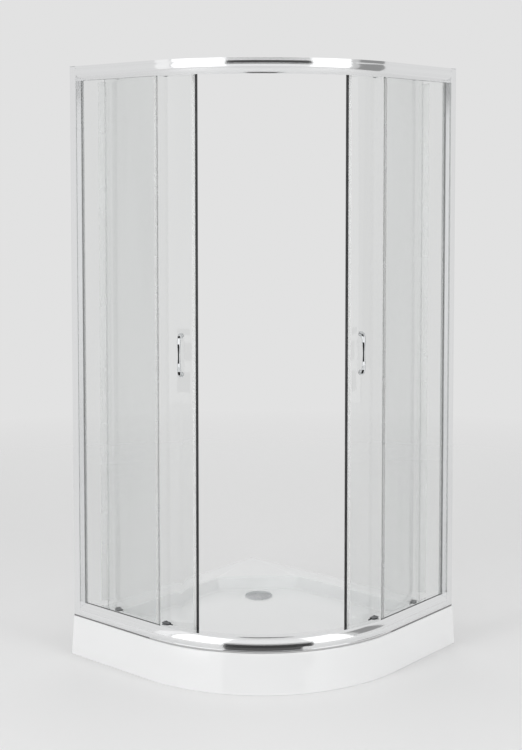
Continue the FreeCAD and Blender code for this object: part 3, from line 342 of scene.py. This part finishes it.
def soft_box(name, turn, distance, height, width, tall, watts):
    """A soft lamp that is itself never seen."""
    light = bpy.data.lights.new(name, "AREA")
    light.shape = "RECTANGLE"
    light.size = width
    light.size_y = tall
    light.energy = watts
    lamp = bpy.data.objects.new(name, light)
    lamp.location = around(turn, distance, height)
    lamp.rotation_euler = (LAMPS_AIM_AT - lamp.location).to_track_quat("-Z", "Y").to_euler()
    lamp.visible_camera = lamp.visible_glossy = lamp.visible_transmission = False
    bpy.context.scene.collection.objects.link(lamp)


for lamp_sizes in LAMPS:
    soft_box(*lamp_sizes)


def mirrored_only(name, corners, faces, brightness):
    """A sheet that only polished surfaces see."""
    mesh = bpy.data.meshes.new(name)
    mesh.from_pydata(corners, [], faces)
    sheet = bpy.data.objects.new(name, mesh)
    bpy.context.scene.collection.objects.link(sheet)
    glow = Finish(name, Roughness=1.0)
    glow.shader.inputs["Base Color"].default_value = grey(0.0)
    glow.shader.inputs["Specular IOR Level"].default_value = 0.0
    glow.shader.inputs["Emission Color"].default_value = grey(1.0)
    glow.shader.inputs["Emission Strength"].default_value = brightness
    mesh.materials.append(glow.material)
    for ray_kind in ("camera", "diffuse", "transmission", "shadow", "volume_scatter"):
        setattr(sheet, f"visible_{ray_kind}", False)


def screen(name, first_turn, last_turn, distance, low, high, brightness, columns, middle=Vector((0, 0, 0))):
    """An upright screen, bent round the enclosure or round another point."""
    corners, faces = [], []
    for column in range(columns + 1):
        turn = first_turn + (last_turn - first_turn) * column / columns
        corners += [middle + around(turn, distance, low), middle + around(turn, distance, high)]
        if column:
            faces.append((2 * column - 2, 2 * column, 2 * column + 1, 2 * column - 1))
    mirrored_only(name, corners, faces, brightness)


for screen_sizes in SCREENS:
    screen(*screen_sizes)

(near, near_half), (far, far_half) = FLOOR_SHEET
sheet_corners = ((near, -near_half), (near, near_half), (far, far_half), (far, -far_half))
mirrored_only("dark_floor",
              [around(math.degrees(math.atan2(half, distance)), math.hypot(distance, half), FLOOR_SHEET_HEIGHT)
               for distance, half in sheet_corners],
              [(0, 1, 2, 3)], FLOOR_SHEET_BRIGHTNESS)


# ---------------------------------------------------------------- shower tray
# One sheet of white sanitary acrylic, drawn over a mould: flat rim, basin with a cut rear corner, and
# a skirt down to the floor. Its hidden side is stiffened with sprayed resin and chopped glass fibre.

ACRYLIC = (0.86, 0.863, 0.865, 1)
ACRYLIC_DEEPER = (0.84, 0.844, 0.847, 1)
FIBRE_RESIN = (0.62, 0.60, 0.53, 1)
FIBRE_DARK = (0.47, 0.45, 0.38, 1)
FACES_DOWN = -0.3
SKIRT_FOOT = 0.004

acrylic = Finish("white_acrylic", Coat_Roughness=0.04, IOR=1.49)
at = acrylic.place()
cloud = acrylic.noise(at, 3.2, 3)
speck = acrylic.noise(at, 900.0, 2)
orange_peel = acrylic.noise(at, 160.0, 2)
strands = acrylic.noise(acrylic.stretched(at, (38, 190, 60)), 1.0, 4)
strands_across = acrylic.noise(acrylic.stretched(at, (210, 42, 60)), 1.0, 4)
fibre = strands.at_least(strands_across)
facing_up = acrylic.axes(acrylic.node("ShaderNodeNewGeometry", output="Normal"))[2]
hidden_side = (facing_up < FACES_DOWN) * (acrylic.axes(at)[2] > SKIRT_FOOT)
shown = acrylic.colour(cloud, ACRYLIC, ACRYLIC_DEEPER)
hidden = acrylic.colour(acrylic.ramp(fibre, 0.45, 0.7), FIBRE_RESIN, FIBRE_DARK)
acrylic.show(
    Base_Color=acrylic.colour(hidden_side, shown, hidden),
    Roughness=acrylic.ramp(speck, 0.3, 0.7, 0.10, 0.15) + hidden_side * 0.5,
    Coat_Weight=(1 - hidden_side) * 0.6,
    Normal=acrylic.bump(orange_peel * 0.12 + hidden_side * fibre * 3.0, 0.0006, 0.35))
dress(acrylic, "shower_tray")


# ---------------------------------------------------------------- base board
# A board of pressed wood flakes, bonded into the resin under the basin. The feet are screwed into it.

FLAKE_PALE = (0.56, 0.43, 0.27, 1)
FLAKE_DARK = (0.33, 0.23, 0.13, 1)

board = Finish("flake_board", Roughness=0.8)
flakes = board.node("ShaderNodeTexVoronoi", None,
                    {"Vector": board.stretched(board.place(), (1.0, 2.2, 1.6)), "Scale": 130.0}, "Color")
flake_tone = board.axes(flakes)[0]
board.show(Base_Color=board.colour(flake_tone, FLAKE_PALE, FLAKE_DARK),
           Roughness=board.ramp(flake_tone, 0, 1, 0.7, 0.9),
           Normal=board.bump(flake_tone, 0.0008, 0.6))
dress(board, "tray_base_board")


# ---------------------------------------------------------------- levelling feet, screws
# Each foot is a zinc-plated stud with a rolled thread, a lock nut under the board and a round pad of
# black moulded plastic. Plated screws hold the rails and the side posts.

ZINC = (0.55, 0.56, 0.56, 1)
ZINC_YELLOWED = (0.52, 0.51, 0.46, 1)
FOOT_SPOTS = ((-0.27, -0.26), (0.15456, -0.15456), (0.26, 0.27), (-0.27, 0.07), (-0.07, 0.27))
STUD_LOW = 0.008
STUD_HIGH = 0.0765
STUD_RADIUS = 0.0050
THREAD_PITCH = 0.0015
THREAD_DEPTH = 0.0008
ROWS_TO_A_PITCH = 6
STUD_SIDES = 20
NUT_LOW = 0.059
NUT_HIGH = 0.065
NUT_SIDES = 6
NUT_CORNER = 0.010
NUT_BEVEL = 0.0007
NUT_HOLE_CORNER = 0.0059
# The pad's outline, as pairs of a height and a radius.
PAD = ((0.0, 0.0196), (0.0008, 0.0208), (0.0030, 0.0210), (0.0048, 0.0200), (0.0070, 0.0125),
       (0.0080, 0.0110))
PAD_SIDES = 48
PAD_BLACK = (0.03, 0.03, 0.032, 1)


def finished_mesh(name, shape):
    """A piece from a bmesh: doubles merged, faces outwards, smooth but for its crisp edges."""
    bmesh.ops.remove_doubles(shape, verts=shape.verts, dist=SAME_POINT)
    bmesh.ops.recalc_face_normals(shape, faces=shape.faces)
    for face in shape.faces:
        face.smooth = True
    for edge in shape.edges:
        edge.smooth = len(edge.link_faces) == 2 and edge.calc_face_angle() < CRISP_EDGE
    mesh = bpy.data.meshes.new(name)
    shape.to_mesh(mesh)
    shape.free()
    piece = bpy.data.objects.new(name, mesh)
    bpy.context.scene.collection.objects.link(piece)
    return piece


def ring_of(spot, height, sides, radius_at):
    """Points round a spot at one height. Their distance from it may change with the turn."""
    turns = [2 * math.pi * side / sides for side in range(sides)]
    return [(spot[0] + radius_at(turn) * math.cos(turn), spot[1] + radius_at(turn) * math.sin(turn), height)
            for turn in turns]


def add_skin(shape, rings, closed_by_faces=True):
    """Joins rings of points into a skin, with a face at both its ends or back to its first ring."""
    made = [[shape.verts.new(point) for point in ring] for ring in rings]
    for ring, following in zip(made, made[1:] if closed_by_faces else made[1:] + made[:1]):
        for index in range(len(ring)):
            beside = (index + 1) % len(ring)
            shape.faces.new((ring[index], ring[beside], following[beside], following[index]))
    if closed_by_faces:
        shape.faces.new(made[0])
        shape.faces.new(made[-1])


def thread_at(height):
    """The thread's radius round the stud at one height: the groove climbs one pitch in a turn."""
    def radius_at(turn):
        phase = (height / THREAD_PITCH - turn / (2 * math.pi)) % 1
        return STUD_RADIUS - THREAD_DEPTH * abs(2 * phase - 1)
    return radius_at


def make_studs(name):
    """Five threaded studs, each with its lock nut."""
    shape = bmesh.new()
    rows = round((STUD_HIGH - STUD_LOW) / THREAD_PITCH * ROWS_TO_A_PITCH)
    heights = [STUD_LOW + (STUD_HIGH - STUD_LOW) * row / rows for row in range(rows + 1)]
    nut_rings = ((NUT_LOW, NUT_CORNER - NUT_BEVEL), (NUT_LOW + NUT_BEVEL, NUT_CORNER),
                 (NUT_HIGH - NUT_BEVEL, NUT_CORNER), (NUT_HIGH, NUT_CORNER - NUT_BEVEL),
                 (NUT_HIGH, NUT_HOLE_CORNER), (NUT_LOW, NUT_HOLE_CORNER))
    for spot in FOOT_SPOTS:
        add_skin(shape, [ring_of(spot, height, STUD_SIDES, thread_at(height)) for height in heights])
        add_skin(shape, [ring_of(spot, height, NUT_SIDES, lambda turn: corner) for height, corner in nut_rings],
                 closed_by_faces=False)
    return finished_mesh(name, shape)


def make_pads(name):
    """Five round pads, domed to the stud."""
    shape = bmesh.new()
    for spot in FOOT_SPOTS:
        add_skin(shape, [ring_of(spot, height, PAD_SIDES, lambda turn: radius) for height, radius in PAD])
    return finished_mesh(name, shape)


zinc = Finish("zinc_plating", Metallic=1.0)
at = zinc.place()
spangle = zinc.noise(at, 60.0, 3)
zinc.show(Base_Color=zinc.colour(zinc.ramp(spangle, 0.4, 0.6), ZINC, ZINC_YELLOWED),
          Roughness=zinc.ramp(spangle, 0.3, 0.7, 0.28, 0.42),
          Normal=zinc.bump(spangle, 0.0001, 0.3))
dress(zinc, "foot_studs")
studs = make_studs("threaded_studs")
studs.data.materials.append(zinc.material)
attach(studs, "root")
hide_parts("foot_studs")

plated = Finish("plated_screws", Metallic=1.0)
at = plated.place()
wear = plated.noise(at, 220.0, 3)
plated.show(Base_Color=plated.colour(plated.ramp(wear, 0.4, 0.6), ZINC, ZINC_YELLOWED),
            Roughness=plated.ramp(wear, 0.3, 0.7, 0.22, 0.38),
            Normal=plated.bump(wear, 0.0001, 0.3))
dress(plated, "rail_screws", "post_lock_screws")


def moulded(name, tone, grain=0.00012, shine=0.45, **constants):
    """Moulded plastic: a spark-eroded grain, and a slight unevenness of its tone."""
    finish = Finish(name, **constants)
    point = finish.place()
    pits = finish.noise(point, 1400.0, 2)
    drift = finish.noise(point, 25.0, 2)
    darker = tuple(part * 0.86 for part in tone[:3]) + (1,)
    return finish.show(Base_Color=finish.colour(drift, tone, darker),
                       Roughness=finish.ramp(pits, 0.35, 0.65, shine - 0.06, shine + 0.08),
                       Normal=finish.bump(pits, grain, 0.5))


black_pads = moulded("black_pads", PAD_BLACK)
dress(black_pads, "foot_pads")
pads = make_pads("round_pads")
pads.data.materials.append(black_pads.material)
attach(pads, "root")
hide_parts("foot_pads")


# ---------------------------------------------------------------- waste
# A low trap of white plastic under the tray, clamped to it by a plated flange over a rubber gasket. A
# plated dome lies loose on top: it lifts out by the hole beside its middle.

CHROME = (0.80, 0.815, 0.825, 1)
CHROME_CLOUDED = (0.70, 0.72, 0.735, 1)
COVER_CHROME = (0.60, 0.61, 0.62, 1)
COVER_CLOUDED = (0.42, 0.43, 0.44, 1)
TRAP_WHITE = (0.80, 0.80, 0.78, 1)
RUBBER_BLACK = (0.012, 0.012, 0.013, 1)
RUBBER_DUSTY = (0.030, 0.030, 0.031, 1)
RUBBER_LINES = (900, 900, 6)


def plated_finish(name, bright, clouded, roughness_low, roughness_high):
    """Chrome over polished metal: faint clouding where hands and water have been."""
    finish = Finish(name, Metallic=1.0)
    point = finish.place()
    film = finish.noise(point, 14.0, 4, 0.6)
    spots = finish.noise(point, 420.0, 2)
    clouding = finish.ramp(film, 0.42, 0.68)
    return finish.show(Base_Color=finish.colour(clouding, bright, clouded),
                       Roughness=finish.ramp(clouding + spots * 0.3, 0, 1.3, roughness_low, roughness_high),
                       Normal=finish.bump(film, 0.0002, 0.08))


chrome = plated_finish("chrome", CHROME, CHROME_CLOUDED, 0.03, 0.12)
cover_chrome = plated_finish("cover_chrome", COVER_CHROME, COVER_CLOUDED, 0.12, 0.26)
dress(cover_chrome, "waste_cover")
dress(chrome, "waste_flange")
dress(moulded("trap_plastic", TRAP_WHITE, shine=0.3), "waste_trap")

rubber = Finish("black_rubber")
at = rubber.place()
draw_lines = rubber.noise(rubber.stretched(at, RUBBER_LINES), 1.0, 2)
bloom = rubber.noise(at, 18.0, 3)
rubber.show(Base_Color=rubber.colour(rubber.ramp(bloom, 0.4, 0.7), RUBBER_BLACK, RUBBER_DUSTY),
            Roughness=rubber.ramp(draw_lines, 0.3, 0.7, 0.45, 0.62),
            Normal=rubber.bump(draw_lines, 0.0002, 0.4))
dress(rubber, "waste_gasket", "door_stops")


# ---------------------------------------------------------------- rails, wall profiles, side posts
# Drawn aluminium, polished and bright anodised. Drawing leaves fine lines along each length: they
# follow the rails round their bend. Along the bend, snap-in strips close the slots meant for glass.

BEND_X = -0.1
BEND_Y = 0.1
ALUMINIUM = (0.92, 0.925, 0.93, 1)
ALUMINIUM_LINE = (0.87, 0.875, 0.88, 1)
CAP_GREY = (0.42, 0.43, 0.44, 1)
# Painted shade: below this height the aluminium turns into a matt grey line where the foot meets the tray. It
# is darker along the straight lengths than in the bend.
PAINTED_SHADE_LINE_TOP = 0.1300
PAINTED_SHADE_LINE_TONE = (0.20, 0.20, 0.202, 1)
PAINTED_SHADE_LINE_TONE_IN_BEND = (0.44, 0.44, 0.445, 1)


def drawn_aluminium(name, bent, roughness_low=0.07, roughness_high=0.14):
    """Bright lines along the drawing, and a matt grey line of painted shade where the bottom rail's foot meets
    the tray, paler in the bend.
    """
    finish = Finish(name, Metallic=1.0)
    x, y, z = finish.axes(finish.place())
    if bent:
        past_x = (x - BEND_X).at_least(0.0)
        past_y = (BEND_Y - y).at_least(0.0)
        across = (past_x * past_x + past_y * past_y).power(0.5)
        section = finish.vector(across, 0.0, z)
        painted_shade_line_tone = finish.colour((past_x > 0.0) * (past_y > 0.0), PAINTED_SHADE_LINE_TONE, PAINTED_SHADE_LINE_TONE_IN_BEND)
    else:
        section = finish.vector(x, y, z * 0.001)
        painted_shade_line_tone = PAINTED_SHADE_LINE_TONE
    lines = finish.noise(section, 1500.0, 3)
    broad = finish.noise(section, 240.0, 2)
    haze = finish.noise(finish.vector(x, y, z), 5.0, 3)
    drawn = lines * 0.6 + broad * 0.4
    bare = finish.colour(finish.ramp(drawn, 0.4, 0.62), ALUMINIUM, ALUMINIUM_LINE)
    # painted shade along the foot, where it meets the tray
    painted_shade_line = z < PAINTED_SHADE_LINE_TOP
    return finish.show(Base_Color=finish.colour(painted_shade_line, bare, painted_shade_line_tone),
                       Metallic=1 - painted_shade_line,
                       Roughness=finish.ramp(drawn * 0.6 + haze * 0.4, 0.38, 0.62,
                                             roughness_low, roughness_high) + painted_shade_line * 0.4,
                       Normal=finish.bump(drawn, 0.00005, 0.25))


bent_aluminium = drawn_aluminium("bent_aluminium", True)
straight_aluminium = drawn_aluminium("straight_aluminium", False, 0.12, 0.22)
dress(bent_aluminium, "bottom_rail", "top_rail", "bottom_rail_infill", "top_rail_infill")
dress(straight_aluminium, "left_wall_profile", "right_wall_profile", "left_side_post", "right_side_post")
dress(moulded("cap_plastic", CAP_GREY), "profile_caps")


# ---------------------------------------------------------------- glass
# Four panes of 5 mm toughened clear glass: two flat, two bent to the rails' curve. Their edges are
# ground to a matt grey green, and dried water has left a faint film on their faces.

GLASS_TINT = (0.912, 0.920, 0.918, 1)
GLASS_FILM = (0.892, 0.900, 0.898, 1)
GROUND_EDGE = (0.05, 0.07, 0.068, 1)
GROUND_EDGE_PALER = (0.09, 0.115, 0.112, 1)
GLASS_SHADOW = (0.96, 0.97, 0.968, 1)
FACE_LEAST = 0.6


def clear_glass(name, face_of):
    """Clear glass with ground edges. It lets lamp light through, so that it throws no dark shadow."""
    finish = Finish(name, Roughness=0.0, IOR=1.5, Transmission_Weight=1.0)
    point = finish.place()
    film = finish.noise(finish.stretched(point, (9, 9, 1.2)), 1.0, 4)
    finish.show(Base_Color=finish.colour(finish.ramp(film, 0.4, 0.7), GLASS_TINT, GLASS_FILM),
                Roughness=finish.ramp(film, 0.45, 0.75, 0.0, 0.02))
    clear = finish.node("ShaderNodeBsdfTransparent", None, {"Color": GLASS_SHADOW}, "BSDF")
    lamp_ray = finish.node("ShaderNodeLightPath", output="Is Shadow Ray")
    pane = finish.node("ShaderNodeMixShader", None,
                       {0: lamp_ray, 1: Field(finish, finish.shader.outputs["BSDF"]), 2: clear}, "Shader")
    grinding = finish.noise(point, 900.0, 2)
    ground_edge = finish.node("ShaderNodeBsdfPrincipled", None, {
        "Base Color": finish.colour(grinding, GROUND_EDGE, GROUND_EDGE_PALER), "Roughness": 0.4,
        "Normal": finish.bump(grinding, 0.0001, 0.4)}, "BSDF")
    facing = finish.axes(finish.node("ShaderNodeNewGeometry", output="Normal"))
    on_edge = face_of(finish, facing) < FACE_LEAST
    whole = finish.node("ShaderNodeMixShader", None, {0: on_edge, 1: pane, 2: ground_edge}, "Shader")
    finish.tree.links.new(whole.socket, finish.output.inputs["Surface"])
    return finish


def size_of(finish, value):
    """A value without its sign."""
    return finish.node("ShaderNodeMath", {"operation": "ABSOLUTE"}, {0: value})


def flat_left(finish, facing):
    """Near 1 on the left fixed pane's two faces."""
    return size_of(finish, facing[1])


def flat_right(finish, facing):
    """Near 1 on the right fixed pane's two faces."""
    return size_of(finish, facing[0])


def upright_faces(finish, facing):
    """The doors' bent faces turn with the curve, so only their level edges are told by their facing."""
    return 1 - size_of(finish, facing[2])


dress(clear_glass("left_flat_glass", flat_left), "left_fixed_glass")
dress(clear_glass("right_flat_glass", flat_right), "right_fixed_glass")
dress(clear_glass("bent_glass", upright_faces), "left_door_glass", "right_door_glass")


# ---------------------------------------------------------------- gaskets and seals
# Wedges hold the fixed panes in their posts: black where they show beside the post, with clear legs
# on the glass. Clear vinyl clips over the panes' free edges and the doors' edges, and holds the magnets.

VINYL = (0.90, 0.905, 0.905, 1)
VINYL_YELLOWED = (0.86, 0.865, 0.855, 1)
GASKET_CORE = 0.0035
LIP_TONE = (0.60, 0.61, 0.61, 1)
LIP_CLEARNESS = 0.75

vinyl = Finish("clear_vinyl", IOR=1.5)
at = vinyl.place()
draw_lines = vinyl.noise(vinyl.stretched(at, (700, 700, 4)), 1.0, 2)
ageing = vinyl.noise(at, 6.0, 3)
vinyl.show(Base_Color=vinyl.colour(vinyl.ramp(ageing, 0.4, 0.7), VINYL, VINYL_YELLOWED),
           Roughness=vinyl.ramp(draw_lines, 0.3, 0.7, 0.24, 0.32),
           Alpha=vinyl.ramp(ageing, 0.3, 0.7, 0.24, 0.32),
           Normal=vinyl.bump(draw_lines, 0.00004, 0.1))


def glazing_rubber(side, axis):
    """Black beside the post on the outside, and clear elsewhere. The pane runs along that axis."""
    finish = Finish(f"{side}_glazing_rubber")
    point = finish.place()
    here = finish.axes(point)
    low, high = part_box(f"{side}_glazing_gasket")
    middle = (low[1 - axis] + high[1 - axis]) / 2
    if side == "left":
        from_post = here[axis] - low[axis]
        inside = here[1 - axis] > middle
    else:
        from_post = high[axis] - here[axis]
        inside = here[1 - axis] < middle
    lip = (from_post > GASKET_CORE).at_least(inside)
    draw_lines = finish.noise(finish.stretched(point, RUBBER_LINES), 1.0, 2)
    finish.show(Base_Color=finish.colour(lip, RUBBER_BLACK, LIP_TONE),
                Roughness=finish.ramp(draw_lines, 0.3, 0.7, 0.4, 0.6),
                Alpha=1 - lip * LIP_CLEARNESS,
                Normal=finish.bump(draw_lines, 0.0002, 0.4))
    dress(finish, f"{side}_glazing_gasket")


glazing_rubber("left", 0)
glazing_rubber("right", 1)
for side in ("left", "right"):
    dress(rubber, f"{side}_magnet_strip")
    dress(vinyl, f"{side}_fixed_edge_seal", f"{side}_magnet_carrier", f"{side}_trailing_seal")


# ---------------------------------------------------------------- door handles and bolts
# Each handle is one cast bow, polished and plated: it spreads into a round foot at both ends and is
# waisted in the grip. Bolts with plated caps hold it from inside; larger caps hide the rollers' bolts.

HANDLE_FOOT = Vector((-0.021495, -0.374077, 1.016))
HANDLE_OUTWARD = Vector((0.3196, -0.9475, 0.0))
HANDLE_SIDES = 32
HANDLE_STEPS = 7
# Small dark strips stand before each handle, and only polished surfaces see them: the dark room that its
# chrome would face. Each one: its name, how far out its middle is, its lowest and its highest point.
DARK_STRIPS = (("dark_grip", 0.014, -0.024, 0.034),
               ("dark_lower_foot", 0.0, -0.120, -0.056),
               ("dark_upper_foot", 0.0, 0.058, 0.078))
DARK_STRIP_TURNS = (-75, 30)
DARK_STRIP_GAP = 0.03
DARK_STRIP_BRIGHTNESS = 0.02
DARK_STRIP_COLUMNS = 8
# How far the bow's middle line stands off the glass, its height from the middle, and its radius there.
HALF_BOW = ((0.0002, 0.0600, 0.0090), (0.0002, 0.0600, 0.0090), (0.0002, 0.0600, 0.0090),
            (0.0012, 0.0600, 0.0088), (0.0040, 0.0599, 0.0075), (0.0085, 0.0588, 0.0066),
            (0.0112, 0.0535, 0.0063), (0.0128, 0.0440, 0.0062), (0.0140, 0.0345, 0.0061),
            (0.0140, 0.0260, 0.0056), (0.0140, 0.0130, 0.0044), (0.0140, 0.0000, 0.0040))


def spline_through(stations, steps):
    """A smooth line led by stations, each a tuple of numbers, that starts and ends on its end ones."""
    line = []
    for first, second, third, fourth in zip(stations, stations[1:], stations[2:], stations[3:]):
        for step in range(steps):
            t = step / steps
            weights = ((1 - t) ** 3 / 6, (3 * t ** 3 - 6 * t ** 2 + 4) / 6,
                       (-3 * t ** 3 + 3 * t ** 2 + 3 * t + 1) / 6, t ** 3 / 6)
            line.append(tuple(sum(weight * part for weight, part in zip(weights, parts))
                              for parts in zip(first, second, third, fourth)))
    return line + [stations[-1]]


def make_bow(name, foot, outward):
    """A round bar swept along the bow's middle line, in the plane of the outward way and the height."""
    lower_half = [(stand_off, -height, radius) for stand_off, height, radius in reversed(HALF_BOW[:-1])]
    line = spline_through(list(HALF_BOW) + lower_half, HANDLE_STEPS)
    up = Vector((0, 0, 1))
    sideways = up.cross(outward)
    shape = bmesh.new()
    rings = []
    for index, (stand_off, height, radius) in enumerate(line):
        before, after = line[max(index - 1, 0)], line[min(index + 1, len(line) - 1)]
        along = outward * (after[0] - before[0]) + up * (after[1] - before[1])
        if index in (0, len(line) - 1) or along.length < SAME_POINT:
            along = outward if index < len(line) / 2 else -outward
        across = along.normalized().cross(sideways)
        middle = foot + outward * stand_off + up * height
        rings.append([shape.verts.new(middle + (across * math.cos(turn) + sideways * math.sin(turn)) * radius)
                      for turn in (2 * math.pi * side / HANDLE_SIDES for side in range(HANDLE_SIDES))])
    for ring, following in zip(rings, rings[1:]):
        for side in range(HANDLE_SIDES):
            beside = (side + 1) % HANDLE_SIDES
            shape.faces.new((ring[side], ring[beside], following[beside], following[side]))
    shape.faces.new(rings[0])
    shape.faces.new(rings[-1])
    return finished_mesh(name, shape)


def other_side(vector):
    """The same place on the right-hand half, across the plane through the rear corner."""
    return Vector((-vector.y, -vector.x, vector.z))


for side, foot, outward in (("left", HANDLE_FOOT, HANDLE_OUTWARD),
                            ("right", other_side(HANDLE_FOOT), other_side(HANDLE_OUTWARD))):
    bow = make_bow(f"{side}_bow_handle", foot, outward.normalized())
    bow.data.materials.append(chrome.material)
    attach(bow, f"{side}_door")
    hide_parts(f"{side}_handle")
    for name, out, low, high in DARK_STRIPS:
        screen(f"{side}_{name}", *DARK_STRIP_TURNS, DARK_STRIP_GAP, low, high, DARK_STRIP_BRIGHTNESS,
               DARK_STRIP_COLUMNS, foot + outward.normalized() * out)
    dress(chrome, f"{side}_handle", f"{side}_handle_bolts", f"{side}_roller_bolts")


# ---------------------------------------------------------------- rollers
# Pressed steel plates carry the top wheels; moulded housings guide the sprung sliders of the bottom
# ones. A wheel is a white acetal tyre, crowned and dished, pressed over a small open ball bearing.

STEEL = (0.62, 0.62, 0.61, 1)
STEEL_BRUSHED = (0.52, 0.52, 0.52, 1)
HOUSING_GREY = (0.14, 0.145, 0.15, 1)
SLIDER_GREY = (0.06, 0.06, 0.065, 1)
ACETAL_WHITE = (0.78, 0.78, 0.76, 1)

bracket_steel = Finish("bracket_steel", Metallic=1.0)
brushing = bracket_steel.noise(bracket_steel.stretched(bracket_steel.place(), (400, 400, 14)), 1.0, 3)
bracket_steel.show(Base_Color=bracket_steel.colour(brushing, STEEL, STEEL_BRUSHED),
                   Roughness=bracket_steel.ramp(brushing, 0.3, 0.7, 0.25, 0.4),
                   Normal=bracket_steel.bump(brushing, 0.0001, 0.3))
housing_plastic = moulded("housing_plastic", HOUSING_GREY)
slider_plastic = moulded("slider_plastic", SLIDER_GREY)
acetal = moulded("white_acetal", ACETAL_WHITE, shine=0.32)

WHEEL_ROUND = 48
# Half sections, as pairs of a distance along the axle and a radius.
TYRE = ((-0.00275, 0.0062), (-0.00275, 0.0070), (-0.0022, 0.0074), (-0.0022, 0.0080), (-0.00275, 0.0084),
        (-0.0023, 0.0088), (-0.0012, 0.00896), (0.0, 0.0090), (0.0012, 0.00896), (0.0023, 0.0088),
        (0.00275, 0.0084), (0.0022, 0.0080), (0.0022, 0.0074), (0.00275, 0.0070), (0.00275, 0.0062),
        (0.0021, 0.0060), (-0.0021, 0.0060))
OUTER_RACE = ((-0.0020, 0.0052), (-0.0020, 0.0061), (0.0020, 0.0061), (0.0020, 0.0052), (0.0009, 0.0050),
              (-0.0009, 0.0050))
INNER_RACE = ((-0.0021, 0.00255), (-0.0021, 0.0034), (-0.0009, 0.0036), (0.0009, 0.0036), (0.0021, 0.0034),
              (0.0021, 0.00255))
BALLS = 9
BALL_RADIUS = 0.00075
BALL_RING = 0.0043
BALL_SEGMENTS = 12
BALL_ROWS = 8


def ball_ring_tree():
    """A ring of bearing balls about the Z axis."""
    tree = bpy.data.node_groups.new("ball_ring", "GeometryNodeTree")
    tree.interface.new_socket("Geometry", in_out="INPUT", socket_type="NodeSocketGeometry")
    tree.interface.new_socket("Ring Radius", in_out="INPUT", socket_type="NodeSocketFloat")
    tree.interface.new_socket("Ball Radius", in_out="INPUT", socket_type="NodeSocketFloat")
    tree.interface.new_socket("Balls", in_out="INPUT", socket_type="NodeSocketInt")
    tree.interface.new_socket("Finish", in_out="INPUT", socket_type="NodeSocketMaterial")
    tree.interface.new_socket("Geometry", in_out="OUTPUT", socket_type="NodeSocketGeometry")
    start = tree.nodes.new("NodeGroupInput")
    ring = tree.nodes.new("GeometryNodeMeshCircle")
    ball = tree.nodes.new("GeometryNodeMeshUVSphere")
    ball.inputs["Segments"].default_value = BALL_SEGMENTS
    ball.inputs["Rings"].default_value = BALL_ROWS
    spread = tree.nodes.new("GeometryNodeInstanceOnPoints")
    real = tree.nodes.new("GeometryNodeRealizeInstances")
    smooth = tree.nodes.new("GeometryNodeSetShadeSmooth")
    coat = tree.nodes.new("GeometryNodeSetMaterial")
    end = tree.nodes.new("NodeGroupOutput")
    join = tree.links.new
    join(start.outputs["Ring Radius"], ring.inputs["Radius"])
    join(start.outputs["Balls"], ring.inputs["Vertices"])
    join(start.outputs["Ball Radius"], ball.inputs["Radius"])
    join(ring.outputs["Mesh"], spread.inputs["Points"])
    join(ball.outputs["Mesh"], spread.inputs["Instance"])
    join(spread.outputs["Instances"], real.inputs["Geometry"])
    join(real.outputs["Geometry"], smooth.inputs["Geometry"])
    join(smooth.outputs["Geometry"], coat.inputs["Geometry"])
    join(start.outputs["Finish"], coat.inputs["Material"])
    join(coat.outputs["Geometry"], end.inputs["Geometry"])
    return tree


def plain_mesh_from(name, tree, **values):
    """The plain mesh that a tree makes with those inputs."""
    maker = bpy.data.objects.new(name, bpy.data.meshes.new(name))
    bpy.context.scene.collection.objects.link(maker)
    growth = maker.modifiers.new(name, "NODES")
    growth.node_group = tree
    set_inputs(growth, **values)
    made = bpy.data.meshes.new_from_object(maker.evaluated_get(bpy.context.evaluated_depsgraph_get()))
    maker.modifiers.clear()
    bpy.data.objects.remove(maker)
    return made


bearing_balls = plain_mesh_from("bearing_balls", ball_ring_tree(), Ring_Radius=BALL_RING,
                                Ball_Radius=BALL_RADIUS, Balls=BALLS, Finish=bracket_steel.material)


def turned_ring(shape, section, material_index):
    """Adds a half section turned round the Z axis."""
    rings = []
    for step in range(WHEEL_ROUND):
        turn = 2 * math.pi * step / WHEEL_ROUND
        rings.append([shape.verts.new((radius * math.cos(turn), radius * math.sin(turn), along))
                      for along, radius in section])
    for ring, following in zip(rings, rings[1:] + rings[:1]):
        for index in range(len(section)):
            beside = (index + 1) % len(section)
            face = shape.faces.new((ring[index], ring[beside], following[beside], following[index]))
            face.material_index = material_index


def make_wheel(name, node, axis):
    """A wheel with its bearing, in the place of a CAD wheel and turning with it."""
    shape = bmesh.new()
    shape.from_mesh(bearing_balls)
    for face in shape.faces:
        face.material_index = 1
    turned_ring(shape, TYRE, 0)
    turned_ring(shape, OUTER_RACE, 1)
    turned_ring(shape, INNER_RACE, 1)
    low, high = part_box(node)
    lie = Matrix.Translation((low + high) / 2) @ Vector(axis).to_track_quat("Z", "Y").to_matrix().to_4x4()
    bmesh.ops.transform(shape, matrix=lie, verts=shape.verts)
    wheel = finished_mesh(name, shape)
    wheel.data.materials.append(acetal.material)
    wheel.data.materials.append(bracket_steel.material)
    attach(wheel, node)
    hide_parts(node)


wheel_axes = {joint["child"]: joint["axis"] for joint in frame["joints"]}
for side in ("left", "right"):
    dress(bracket_steel, f"{side}_top_brackets")
    dress(housing_plastic, f"{side}_bottom_housings")
    for place_name in ("rear", "front"):
        dress(slider_plastic, f"{side}_release_{place_name}")
        for level in ("top", "bottom"):
            wheel_node = f"{side}_{level}_wheel_{place_name}"
            dress(acetal, wheel_node)
            make_wheel(f"{side}_{level}_bearing_wheel_{place_name}", wheel_node, wheel_axes[wheel_node])


# ---------------------------------------------------------------- for the picture

bpy.context.scene.view_settings.view_transform = "Standard"
